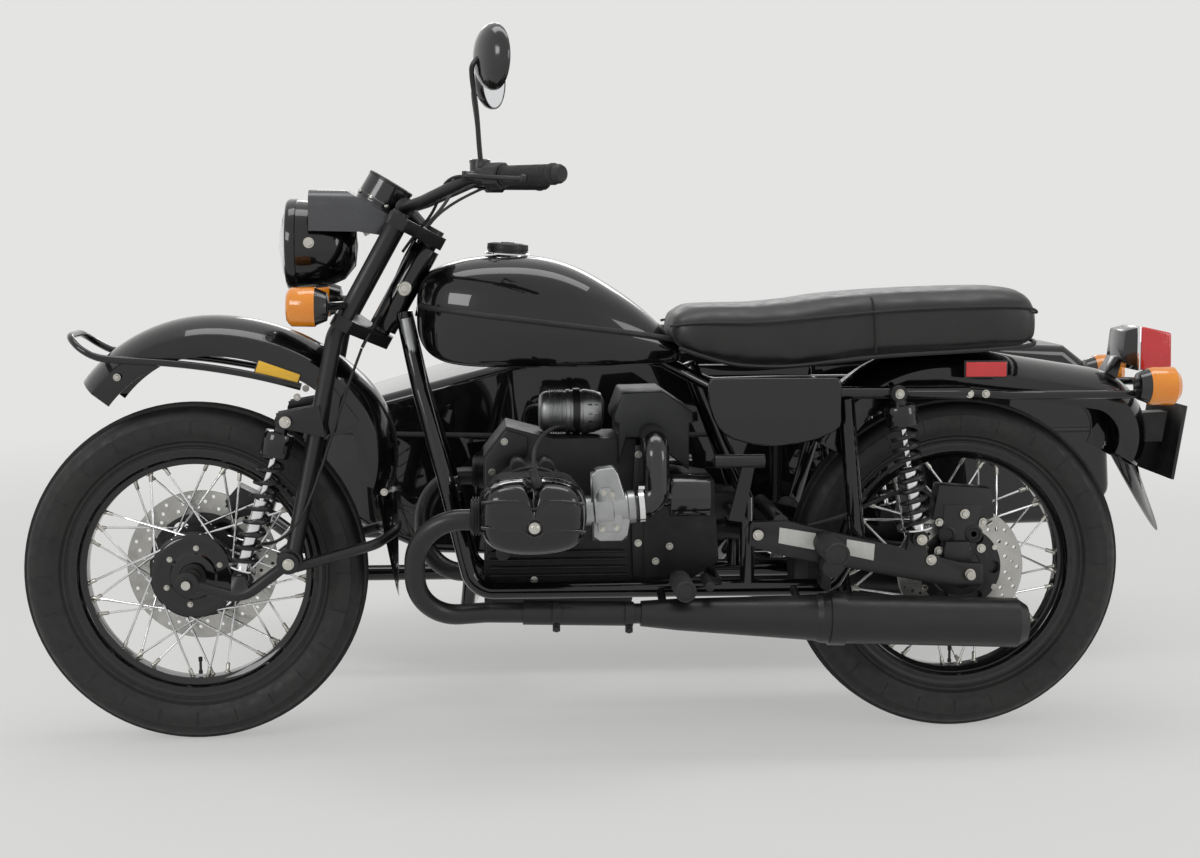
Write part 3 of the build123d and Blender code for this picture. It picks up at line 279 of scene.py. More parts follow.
# Ground steel of a brake disc: bright with fine concentric wear
GROUND_STEEL = Finish(
    "ground_steel_disc", "#a9a8a4", "#bdbcb8", Surface.BRUSHED, metallic=1.0, roughness=0.3, rough_span=0.08,
    grain_mm=1.5, relief=0.15, relief_mm=0.05, slot="bright_steel")
# Zinc-plated fasteners: silver grey, slightly yellow
ZINC_PLATE = Finish(
    "zinc_plated_steel", "#bcbab2", "#d0cec6", Surface.POLISHED, metallic=1.0, roughness=0.32,
    rough_span=0.08, grain_mm=3, relief=0.08, relief_mm=0.08, slot="bright_steel")
# Chromium plate on reflectors and trims
CHROME = Finish(
    "chromium_plate", "#d9dadc", "#e4e5e6", Surface.POLISHED, metallic=1.0, roughness=0.06, rough_span=0.03,
    grain_mm=6, relief=0.01, relief_mm=0.05, slot="bright_steel")
# Vulcanised tyre rubber: dark, dry, with a grey bloom of road dust
TYRE_RUBBER = Finish(
    "vulcanised_tyre_rubber", "#151516", "#1e1e1d", Surface.CAST, roughness=0.58, rough_span=0.1,
    grain_mm=2.0, relief=0.22, relief_mm=0.15, patch_mm=60, slot="tyre")
# Moulded rubber of grips, pegs and flaps
SOFT_RUBBER = Finish(
    "moulded_black_rubber", "#161616", "#222222", Surface.MOULDED, roughness=0.6, rough_span=0.1,
    grain_mm=1.2, relief=0.2, relief_mm=0.12, slot="rubber")
# Injection-moulded ABS with its eroded grain
GRAINED_ABS = Finish(
    "grained_black_abs", "#191a1b", "#212223", Surface.MOULDED, roughness=0.48, rough_span=0.06, grain_mm=1.0,
    relief=0.3, relief_mm=0.12, slot="plastic")
# Vinyl seat cover: close pebble grain with a soft shine on its high spots
SEAT_VINYL = Finish(
    "black_seat_vinyl", "#141414", "#1d1c1c", Surface.HIDE, roughness=0.42, rough_span=0.08, grain_mm=2.2,
    relief=0.4, relief_mm=0.3, sheen=0.1, slot="vinyl")
# Clear lamp glass
LAMP_GLASS = Finish(
    "clear_lamp_glass", "#f4f6f7", "#fbfcfc", Surface.CLEAR, roughness=0.03, rough_span=0.01,
    transmission=1.0, ior=1.5, slot="lamp")
# Amber acrylic of the signals and reflectors
AMBER_ACRYLIC = Finish(
    "amber_acrylic", "#f08a0a", "#f79c16", Surface.MOULDED, roughness=0.14, rough_span=0.04, grain_mm=4,
    relief=0.5, relief_mm=0.5, coat=0.8, slot="lamp")
# Yellow prismatic reflector
YELLOW_PRISM = Finish(
    "yellow_prism_reflector", "#eeb408", "#f6c216", Surface.MOULDED, roughness=0.2, rough_span=0.05,
    grain_mm=2.5, relief=0.6, relief_mm=0.4, coat=0.8, slot="lamp")
# Red acrylic of the tail lamp
RED_ACRYLIC = Finish(
    "red_acrylic", "#c8141c", "#d62026", Surface.MOULDED, roughness=0.14, rough_span=0.04, grain_mm=4,
    relief=0.5, relief_mm=0.5, coat=0.8, slot="lamp")
# Mirror glass
MIRROR_GLASS = Finish(
    "silvered_mirror_glass", "#e6e8ea", "#eceef0", Surface.POLISHED, metallic=1.0, roughness=0.02,
    rough_span=0.01, grain_mm=20, relief=0.0, relief_mm=0.01, slot="mirror")
# Bare plate and dial white
WHITE_ENAMEL = Finish(
    "white_enamelled_plate", "#c9c9c5", "#d6d6d2", Surface.ENAMEL, roughness=0.28, rough_span=0.05,
    grain_mm=6, relief=0.05, relief_mm=0.2, coat=0.5, slot="plate")
# Printed dial face, and the needle's orange paint
DIAL_BLACK = Finish(
    "matt_dial_face", "#0d0d0e", "#101011", Surface.ENAMEL, roughness=0.5, rough_span=0.03, grain_mm=3,
    relief=0.02, relief_mm=0.05, slot="plastic")
NEEDLE_ORANGE = Finish(
    "orange_needle_paint", "#e2560f", "#ea6216", Surface.ENAMEL, roughness=0.4, rough_span=0.03, grain_mm=3,
    relief=0.02, relief_mm=0.05, slot="lamp")
# Smooth black plastic shells of mirrors and lamps
GLOSS_ABS = Finish(
    "gloss_black_abs", "#0f0f10", "#151516", Surface.ENAMEL, roughness=0.18, rough_span=0.05, grain_mm=9,
    relief=0.04, relief_mm=0.2, coat=0.5, coat_roughness=0.08, slot="plastic")
# Pale, matt studio floor
STUDIO_FLOOR = Finish(
    "pale_studio_floor", "#dcdcda", "#dfdfdd", Surface.POWDER, roughness=0.75, rough_span=0.05, grain_mm=6,
    relief=0.02, relief_mm=0.1, patch_mm=900, specular=0.2)


# Workshop tools

def deselect() -> None:
    """Leave edit mode and clear the selection, so that an operator acts on the new piece alone."""
    if bpy.context.object and bpy.context.object.mode != "OBJECT":
        bpy.ops.object.mode_set(mode="OBJECT")
    bpy.ops.object.select_all(action="DESELECT")


def pick(piece: Piece) -> None:
    """Select one piece and make it active.

    Args:
        piece: The piece to work on.
    """
    deselect()
    piece.select_set(True)
    bpy.context.view_layer.objects.active = piece


def edit(piece: Piece) -> None:
    """Open a piece in edit mode with all of it selected.

    Args:
        piece: The piece to work on.
    """
    pick(piece)
    bpy.ops.object.mode_set(mode="EDIT")
    bpy.ops.mesh.select_all(action="SELECT")


def close(merge_mm: float = 0.004) -> None:
    """Merge doubles, turn the faces outwards and go back to object mode.

    Args:
        merge_mm: Points nearer than this become one, in millimetres.
    """
    bpy.ops.mesh.select_all(action="SELECT")
    bpy.ops.mesh.remove_doubles(threshold=merge_mm / 1000)
    bpy.ops.mesh.normals_make_consistent(inside=False)
    bpy.ops.object.mode_set(mode="OBJECT")


def added(name: str) -> Piece:
    """Name the primitive just added.

    Args:
        name: The name it gets.

    Returns:
        The new piece.
    """
    piece = bpy.context.object
    piece.name = name
    return piece


def apply_modifier(piece: Piece, kind: str, **settings: object) -> None:
    """Add a modifier with its settings and apply it at once.

    Args:
        piece: The piece that is shaped.
        kind: The modifier's type name.
        settings: Its settings by name.
    """
    pick(piece)
    modifier = piece.modifiers.new(kind.title(), kind)
    for key, value in settings.items():
        setattr(modifier, key, value)
    bpy.ops.object.modifier_apply(modifier=modifier.name)


def eased(piece: Piece, width_mm: float, segments: int = 2, angle: float = 32) -> Piece:
    """Round a piece's sharp edges by a width in millimetres.

    Args:
        piece: The piece to ease.
        width_mm: The width of the rounding; nought leaves the piece as it is.
        segments: Steps of the rounding.
        angle: Edges sharper than this in degrees are rounded.

    Returns:
        The same piece.
    """
    if width_mm > 0:
        apply_modifier(piece, "BEVEL", width=width_mm / 1000, segments=segments, limit_method="ANGLE",
                       angle_limit=radians(angle), use_clamp_overlap=True)
    return piece


def turned(name: str, profile: Outline, start: Vector, towards: Vector, steps: int = 40) -> Piece:
    """Turn a closed profile on a lathe.

    Args:
        name: The piece's name.
        profile: Pairs of radius and distance along, in millimetres.
        start: Where the line of turning starts, in metres.
        towards: Any point further on it.
        steps: Facets round the piece.

    Returns:
        The turned piece.
    """
    deselect()
    bpy.ops.mesh.primitive_circle_add(vertices=len(profile), radius=0.1)
    piece = added(name)
    axis = (towards - start).normalized()
    side = axis.orthogonal().normalized()
    for vertex, (radius, along) in zip(piece.data.vertices, profile):
        vertex.co = start + axis * (along / 1000) + side * (radius / 1000)
    piece.location = (0, 0, 0)
    edit(piece)
    bpy.ops.mesh.spin(steps=steps, angle=2 * pi, center=start, axis=axis)
    close()
    return piece


def rod(name: str, start: Vector, end: Vector, radius: float, ease: float = 0.6, steps: int = 20) -> Piece:
    """A round bar with eased ends between two points; its radius in millimetres.

    Args:
        name: The piece's name.
        start: One end in metres.
        end: The other end in metres.
        radius: The bar's radius.
        ease: The rounding at its ends.
        steps: Facets round the bar.

    Returns:
        The bar.
    """
    length = (end - start).length * 1000
    ease = min(ease, radius * 0.4, length * 0.3)
    profile = [(0, 0), (radius - ease, 0), (radius, ease), (radius, length - ease), (radius - ease, length),
               (0, length)]
    return turned(name, profile, start, end, steps)


def flat_cut(name: str, outline: Outline, y_from: float, y_to: float, ease: float = 1.0,
segments: int = 2) -> Piece:
    """Cut a plate from an outline of X and Z places and give it thickness across the machine.

    Args:
        name: The piece's name.
        outline: X and Z places in millimetres.
        y_from: Where the plate's first face lies.
        y_to: Where its other face lies.
        ease: How far its edges are rounded.
        segments: Steps of that rounding.

    Returns:
        The plate.
    """
    deselect()
    bpy.ops.mesh.primitive_circle_add(vertices=len(outline), fill_type="NGON")
    piece = added(name)
    piece.location = (0, 0, 0)
    for vertex, (x, z) in zip(piece.data.vertices, outline):
        vertex.co = spot(x, y_from, z)
    edit(piece)
    bpy.ops.mesh.extrude_region_move(TRANSFORM_OT_translate={"value": (0, (y_to - y_from) / 1000, 0)})
    close()
    return eased(piece, ease, segments)


def block(name: str, centre: Vector, size: Place, turn: Matrix | None = None, ease: float = 1.0,
          segments: int = 2) -> Piece:
    """A block with eased edges; its size in millimetres and its turn about its own middle.

    Args:
        name: The piece's name.
        centre: Its middle in metres.
        size: Its three sizes in millimetres.
        turn: Its turn, if it has one.
        ease: How far its edges are rounded.
        segments: Steps of that rounding.

    Returns:
        The block.
    """
    deselect()
    bpy.ops.mesh.primitive_cube_add(size=0.001)
    piece = added(name)
    edit(piece)
    bpy.ops.transform.resize(value=size)
    bpy.ops.object.mode_set(mode="OBJECT")
    shift = Matrix.Translation(centre)
    piece.data.transform(shift @ turn.to_4x4() if turn else shift)
    return eased(piece, ease, segments)


def tube(name: str, route: Sequence[Vector], radius: float, sides: int = 12, closed: bool = False,
         order: int = 3) -> Piece:
    """Bend a round tube or wire along a route of points in metres; its radius in millimetres.

    Args:
        name: The piece's name.
        route: Points in metres that the tube bends along.
        radius: The tube's radius in millimetres.
        sides: Facets round it.
        closed: Whether the route is a ring.
        order: 2 keeps the corners sharp, 3 rounds them.

    Returns:
        The tube.
    """
    deselect()
    bpy.ops.curve.primitive_nurbs_path_add()
    piece = added(name)
    piece.location = (0, 0, 0)
    curve = piece.data
    curve.splines.clear()
    curve.bevel_depth = radius / 1000
    curve.bevel_resolution = max(1, sides // 4 - 1)
    curve.use_fill_caps = not closed
    spline = curve.splines.new("NURBS")
    spline.points.add(len(route) - 1)
    for point, place in zip(spline.points, route):
        point.co = (*place, 1)
    spline.use_endpoint_u = not closed
    spline.use_cyclic_u = closed
    spline.order_u = min(order, len(route))
    spline.resolution_u = 6
    bpy.ops.object.convert(target="MESH")
    piece = bpy.context.object
    edit(piece)
    close()
    return piece


def lofted(name: str, rings: Sequence[Sequence[Vector]], capped: bool = True) -> Piece:
    """Skin a row of closed rings, each with the same number of points, in metres.

    Args:
        name: The piece's name.
        rings: The rings in order, in metres.
        capped: Whether the two ends are closed.

    Returns:
        The skin.
    """
    deselect()
    around, rows = len(rings[0]), len(rings)
    bpy.ops.mesh.primitive_grid_add(x_subdivisions=around, y_subdivisions=rows - 1)
    piece = added(name)
    piece.location = (0, 0, 0)
    places = [ring[i % around] for ring in rings for i in range(around + 1)]
    for vertex, place in zip(piece.data.vertices, places):
        vertex.co = place
    edit(piece)
    bpy.ops.mesh.remove_doubles(threshold=SEAM_GAP)
    if capped:
        bpy.ops.mesh.fill_holes(sides=0)
    close()
    return piece


def joined(name: str, pieces: Sequence[Piece]) -> Piece:
    """Make one piece of several.

    Args:
        name: The name of the whole.
        pieces: What it is made of.

    Returns:
        The one piece.
    """
    deselect()
    for piece in pieces:
        piece.select_set(True)
    bpy.context.view_layer.objects.active = pieces[0]
    bpy.ops.object.join()
    made = bpy.context.object
    made.name = name
    return made


def ringed(piece: Piece, count: int, centre: Vector, axis: Vector) -> Piece:
    """Repeat a piece round an axis until there are count of it.

    Args:
        piece: The piece to repeat.
        count: How many there are in all.
        centre: A point on the axis, in metres.
        axis: The axis's direction.

    Returns:
        The same piece, with its copies.
    """
    edit(piece)
    bpy.ops.mesh.spin(
        steps=count - 1, dupli=True, angle=2 * pi * (count - 1) / count, center=centre, axis=axis)
    bpy.ops.object.mode_set(mode="OBJECT")
    return piece


def mirrored(piece: Piece, name: str, middle: float = 0.0) -> Piece:
    """Copy a piece to the other side of a plane at a distance from the motorcycle's middle.

    Args:
        piece: The left piece.
        name: The copy's name.
        middle: The plane's distance in millimetres.

    Returns:
        The copy.
    """
    copy = bpy.data.objects.new(name, piece.data.copy())
    bpy.context.scene.collection.objects.link(copy)
    plane = (middle - FOOTPRINT[1]) / 1000
    for vertex in copy.data.vertices:
        vertex.co.y = 2 * plane - vertex.co.y
    edit(copy)
    bpy.ops.mesh.flip_normals()
    bpy.ops.object.mode_set(mode="OBJECT")
    return copy


def both(piece: Piece, name: str, middle: float = 0.0) -> Piece:
    """One piece made of a left one and its mirror image."""
    return joined(name, [piece, mirrored(piece, name + "_far", middle)])


def carved(piece: Piece, cutter: Piece) -> Piece:
    """Take a cutter's space out of a piece, and remove the cutter.

    Args:
        piece: The piece that is cut.
        cutter: The space to take out.

    Returns:
        The cut piece.
    """
    apply_modifier(piece, "BOOLEAN", operation="DIFFERENCE", object=cutter, solver="EXACT")
    bpy.data.objects.remove(cutter)
    return piece


class Frame:
    """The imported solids, and the pieces that stand for them."""

    def __init__(self) -> None:
        """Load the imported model."""
        self.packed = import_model()
        self.nodes = self.packed["nodes"]

    def paint(self, finish: Finish, *nodes: str, smooth: float = 35) -> None:
        """Give solids whose shape is right their finish.

        Args:
            finish: The finish they get.
            nodes: The solids' names.
            smooth: Edges under this angle in degrees are shaded smooth.
        """
        for node in nodes:
            piece = self.nodes[node]
            piece.data.materials.clear()
            piece.data.materials.append(finish.material())
            pick(piece)
            bpy.ops.object.shade_smooth_by_angle(angle=radians(smooth))

    def dressed(self, node: str, finish: Finish, body: str, ease: float = 0.8, segments: int = 2,
                smooth: float = 35) -> Piece:
        """Stand a merged and eased copy in for a solid.

        Args:
            node: The solid's name.
            finish: The copy's finish.
            body: The body that it rides on.
            ease: How far its edges are rounded, in millimetres.
            segments: Steps of that rounding.
            smooth: Edges under this angle in degrees are shaded smooth.

        Returns:
            The copy.
        """
        piece = bpy.data.objects.new(node + "_finished", self.nodes[node].data.copy())
        bpy.context.scene.collection.objects.link(piece)
        edit(piece)
        bpy.ops.mesh.remove_doubles(threshold=WELD_GAP)
        bpy.ops.mesh.dissolve_limited(angle_limit=radians(FLAT_ANGLE))
        bpy.ops.object.mode_set(mode="OBJECT")
        eased(piece, ease, segments, SHARP_ANGLE)
        fit(piece, finish, body, smooth)
        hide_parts(node)
        return piece


def fit(piece: Piece, finish: Finish, body: str = "root", smooth: float = 40) -> Piece:
    """Give a piece its finish, shade it and hang it on its body.

    Args:
        piece: The finished shape.
        finish: What it is made of.
        body: The body that it rides on.
        smooth: Edges under this angle in degrees are shaded smooth.

    Returns:
        The same piece.
    """
    piece.data.materials.clear()
    piece.data.materials.append(finish.material())
    pick(piece)
    bpy.ops.object.shade_smooth_by_angle(angle=radians(smooth))
    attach(piece, body)
    LOG.info("%s: %d faces", piece.name, len(piece.data.polygons))
    return piece


def bolt(name: str, head: Vector, towards: Vector, across: float = 10, height: float = 6) -> Piece:
    """A hexagon bolt head on its washer, standing away from towards.

    Args:
        name: The piece's name.
        head: Where the washer lies, in metres.
        towards: A point down the bolt's shank.
        across: Its size across the flats in millimetres.
        height: Its height in millimetres.

    Returns:
        The bolt head.
    """
    away = (head - towards).normalized()
    washer = turned(name, [(0, 0), (across * 0.78, 0), (across * 0.78, 1.4), (0, 1.4)], head, head + away, 16)
    nut = turned(
        name + "_hex", [(0, 1.2), (across * 0.577, 1.2), (across * 0.577, height - 0.8),
        (across * 0.5, height), (0, height)], head, head + away, 6)
    return joined(name, [washer, nut])


# Wheels

@dataclass
class WireWheel:
    """A laced wheel with its road tyre, in place of the plain solids."""

    name: str
    centre: Place
    body: str
    tyre_radius: float = 330.0
    tyre_half: float = 54.0
    rim_half: float = 33.0
    flange_radius: float = 244.0
    well_radius: float = 213.0
    spokes_a_side: int = 18
    hub_radius: float = 84.0
    cover_side: int = LEFT
    blocks: int = 92
    spoke_cross: float = 46.0
    # shoulder and crown grooves: their reach from the middle, least radius, widest face and depth in metres
    shoulder_grooves: tuple[float, float] = (24.0, 53.6)
    crown_grooves: tuple[float, float] = (5.0, 18.8)
    groove_from: float = 301.0
    groove_width: float = 9.0
    groove_depth: float = 0.0045
    # each second row of the tread is turned by this share of a row, and leans over beyond the crown
    row_shift: float = 0.27
    lean_from: float = 20.0
    lean_rate: float = 0.0012
    ribs_a_side: int = 24

    @property
    def middle(self) -> Vector:
        """The wheel's middle in metres."""
        return spot(*self.centre)

    def tread_profile(self) -> list[tuple[float, float]]:
        """Half of the tyre's section, from bead to crown.

        Returns:
            Pairs of radius and distance from the middle, in millimetres.
        """
        r, half = self.tyre_radius, self.tyre_half
        return [(229, 31), (246, 32.6), (250, 36.5), (254, 37.2), (259, 43.5), (262, 44.3), (270, half - 3),
                (284, half), (296, half - 0.6), (299, half - 0.2), (306, half - 2.6), (313, half - 6.4),
                (318.5, half - 11), (322.5, 37), (325.4, 30), (327.4, 23.4), (321.6, 22.8), (321.8, 20.4),
                (328.2, 19.6), (329.2, 12), (r - 0.2, 4.4), (323.4, 3.6), (323.6, 1.8)]

    def tyre(self, machine: Frame) -> None:
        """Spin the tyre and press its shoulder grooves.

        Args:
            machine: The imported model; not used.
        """
        half = self.tread_profile()
        section = half + [(r, -y) for r, y in reversed(half)]
        piece = turned(self.name + "_tyre_cover", section, self.middle, self.middle + ACROSS, self.blocks * 2)
        middle = self.middle
        turn = pi / self.blocks
        for vertex in piece.data.vertices:
            arm = vertex.co - middle
            angle = atan2(arm.z, arm.x)
            index = round(angle / turn)
            lean = max(0.0, abs(arm.y) * 1000 - self.lean_from) * self.lean_rate
            shift = lean + (-self.row_shift * turn if index % 2 else self.row_shift * turn)
            vertex.co = middle + Matrix.Rotation(-shift, 3, "Y") @ arm
        edit(piece)
        bpy.ops.mesh.normals_make_consistent(inside=False)
        bpy.ops.mesh.select_all(action="DESELECT")
        bpy.ops.object.mode_set(mode="OBJECT")
        for face in piece.data.polygons:
            arm = face.center - middle
            reach = abs(arm.y) * 1000
            width = max(
                (piece.data.vertices[a].co - piece.data.vertices[b].co).dot(arm.normalized().cross(ACROSS))
                for a in face.vertices for b in face.vertices) * 1000
            outer = arm.xz.length * 1000 > self.groove_from
            low, high = self.shoulder_grooves
            inner, rim = self.crown_grooves
            face.select = outer and width < self.groove_width and (low < reach < high or inner < reach < rim)
        bpy.ops.object.mode_set(mode="EDIT")
        bpy.ops.mesh.select_mode(type="FACE")
        bpy.ops.mesh.inset(thickness=0.0003, depth=-self.groove_depth, use_even_offset=True)
        bpy.ops.mesh.select_mode(type="VERT")
        bpy.ops.object.mode_set(mode="OBJECT")
        x, y, z = self.centre
        wall = self.tyre_half + 0.1
        ribs = [
            block(f"{self.name}_rib_{side + 1}", spot(x + 283, y + side * wall, z), (27, 1.0, 1.3), None, 0.3,
            1) for side in (LEFT, RIGHT)]
        ribs = ringed(joined(self.name + "_ribs", ribs), self.ribs_a_side, middle, ACROSS)
        piece = joined(self.name + "_tyre_cover", [piece, ribs])
        fit(piece, TYRE_RUBBER, self.body, 32)
        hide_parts(self.name + "_tyre")

    def rim(self) -> Piece:
        """The drop-centre rim with rolled lips.

        Returns:
            The rim.
        """
        lip, well = self.flange_radius, self.well_radius
        inner, outer = self.rim_half - 5, self.rim_half
        top = [
            (lip - 2, inner + 0.6), (lip, inner + 1.8), (lip + 0.4, outer - 1.2), (lip - 1, outer),
            (lip - 9, outer - 1.6), (226.5, outer - 2.2), (225, 24), (220, 19.5), (well - 2.6, 16),
            (well - 3, 9)]
        under = [(well, 9), (well, 15), (222.6, 18.2), (228.2, 23), (228.8, inner - 0.2)]
        section = top + [(r, -y) for r, y in reversed(top)]
        section += [(r, -y) for r, y in under] + list(reversed(under))
        return turned(self.name + "_rim", section, self.middle, self.middle + ACROSS, 96)

    def hub(self) -> Piece:
        """The full-width hub, ribbed between its flanges.

        Returns:
            The hub.
        """
        flange = self.hub_radius
        half = [
            (8.6, 70), (24, 70), (27, 67), (40, 66), (41, 56), (flange - 8, 55), (flange - 3, 53.5),
            (flange, 51), (flange, 48.4), (flange - 2, 46.5), (62, 45), (58, 40), (58, 34), (63, 33),
            (63, 30), (58, 29), (58, 20), (63, 19), (63, 16), (58, 15), (58, 4)]
        section = half + [(r, -y) for r, y in reversed(half)]
        return turned(self.name + "_hub_shell", section, self.middle, self.middle + ACROSS, 64)

    def spokes(self) -> tuple[Piece, Piece]:
        """Lace the spokes with their nipples: one group is bent up and repeated round the wheel.

        Returns:
            The spokes, and the nipples.
        """
        wires, nipples = [], []
        step = 2 * pi / self.spokes_a_side
        centre = Vector(self.centre)
        for side in (LEFT, RIGHT):
            for n in (0, 1):
                lean = 1 if n else -1
                hub_turn = n * step + (step / 2 if side > 0 else 0)
                rim_turn = hub_turn + radians(self.spoke_cross) * lean
                y = side * (50 + lean * 3.4)
                hub_r, rim_r = self.hub_radius - 5.5, self.well_radius - 3
                foot = centre + Vector((hub_r * cos(hub_turn), y, hub_r * sin(hub_turn)))
                tip = centre + Vector((rim_r * cos(rim_turn), side * 6, rim_r * sin(rim_turn)))
                back = foot + Vector((0, -side * lean * 7, 0))
                run = (tip - foot).normalized()
                label = f"{self.name}_spoke_{side + 1}{n}"
                wires.append(
                    tube(label, [spot(*back), spot(*foot), spot(*(foot + run * 8)), spot(*tip)], 2.3, 8))
                wires.append(
                    rod(label + "_head", spot(*back), spot(*(back - Vector((0, -side * lean * 2.4, 0)))), 3.6,
                    0.8, 8))
                nipples.append(
                    turned(label + "_nipple", [(0, 0), (3.0, 0), (4.0, 1.5), (4.0, 15), (5.4, 16), (5.4, 19),
                    (0, 19)], spot(*(tip - run * 17)), spot(*tip), 8))
        pairs = self.spokes_a_side // 2
        laced = ringed(joined(self.name + "_spokes", wires), pairs, self.middle, ACROSS)
        seats = ringed(joined(self.name + "_nipples", nipples), pairs, self.middle, ACROSS)
        return laced, seats

    def hub_cover(self) -> None:
        """The black drum cover on the side away from the disc, with its bolts and stepped boss."""
        side = self.cover_side
        x, y, z = self.centre
        start = spot(x, y + side * 53, z)
        out = start + Vector((0, side, 0))
        plate = turned(
            self.name + "_drum_cover", [(26, 1), (76, 1), (79, 2.5), (80, 6), (77, 9), (70, 10.5), (66, 9.5),
            (46, 11), (42, 15), (30, 16.4), (26, 16.4)], start, out, 64)
        fit(plate, BLACK_ENAMEL, self.body, 35)
        foot = spot(x + 55 * cos(0.4), y + side * 63.4, z + 55 * sin(0.4))
        bolts = ringed(
            bolt(self.name + "_drum_bolts", foot, foot - Vector((0, side, 0)), 7, 5), 6, start, ACROSS)
        fit(bolts, ZINC_PLATE, self.body)

    def build(self, machine: Frame) -> None:
        """Make the whole wheel.

        Args:
            machine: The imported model.
        """
        self.tyre(machine)
        rim = fit(self.rim(), BLACK_ENAMEL, self.body, 40)
        hub = fit(self.hub(), SATIN_POWDER, self.body, 35)
        self.hub_cover()
        laced, seats = self.spokes()
        fit(laced, STAINLESS, self.body, 60)
        fit(seats, ZINC_PLATE, self.body, 50)
        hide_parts(self.name + "_wheel")
        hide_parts(self.name + "_wheel")
        valve_foot = self.middle + Vector((0.0, 0, -0.206))
        valve = turned(
            self.name + "_valve", [(0, 0), (4, 0), (4, 6), (2.6, 8), (2.6, 24), (4, 25), (4, 33), (0, 34)],
            valve_foot, self.middle, 12)
        fit(valve, SOFT_RUBBER, self.body)


@dataclass
class BrakeDisc:
    """A drilled disc with its carrier, in place of the plain one."""

    name: str
    centre: Place
    body: str
    radius: float
    side: int = LEFT
    seat_y: float = 60.0
    thickness: float = 5.0
    drillings: int = 18

    def build(self) -> None:
        """Turn the disc, drill it and bolt it to its carrier."""
        x, y, z = self.centre
        face = self.side * self.seat_y
        start = spot(x, y + face, z)
        out = start + Vector((0, self.side, 0))
        t, r = self.thickness, self.radius
        band = turned(
            self.name + "_band", [(r - 44, 0.3), (r - 0.6, 0.3), (r, 0.9), (r, t - 0.6), (r - 0.6, t),
            (r - 44, t)], start, out, 96)
        holes = []
        for ring, (reach, lag) in enumerate(((r - 11, 0.0), (r - 22, 0.33), (r - 33, 0.66))):
            turn = lag * 2 * pi / self.drillings
            at = spot(x + reach * cos(turn), y + face, z + reach * sin(turn))
            holes.append(
                rod(f"{self.name}_drill_{ring}", at - Vector((0, 0.01, 0)), at + Vector((0, 0.01, 0)), 3.6,
                0.1, 12))
        cutter = ringed(joined(self.name + "_drills", holes), self.drillings, start, ACROSS)
        fit(carved(band, cutter), GROUND_STEEL, self.body, 30)
        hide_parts(self.name)
        bell = [
            (40.4, 0.4), (r - 46, 0.4), (r - 42, 1.4), (r - 42, t - 1.2), (r - 52, t), (60, t), (56, t + 3.4),
            (40.4, t + 3.4)]
        carrier = turned(self.name + "_carrier", bell, start, out, 72)
        windows = []
        mid = (56 + r - 46) / 2
        at = spot(x + mid, y + face, z)
        windows.append(
            rod(self.name + "_window", at - Vector((0, 0.012, 0)), at + Vector((0, 0.012, 0)),
            min(17.0, (r - 46 - 60) / 2 + 3), 0.1, 20))
        openings = ringed(joined(self.name + "_windows", windows), 6, start, ACROSS)
        fit(carved(carrier, openings), SATIN_POWDER, self.body, 30)
        button = spot(x + (r - 46) * cos(pi / 6), y + face + self.side * (t - 1), z + (r - 46) * sin(pi / 6))
        rivets = ringed(
            rod(self.name + "_buttons", button, button + Vector((0, self.side * 0.0035, 0)), 6, 0.8, 14), 6,
            start, ACROSS)
        fit(rivets, ZINC_PLATE, self.body)


# Fuel tank

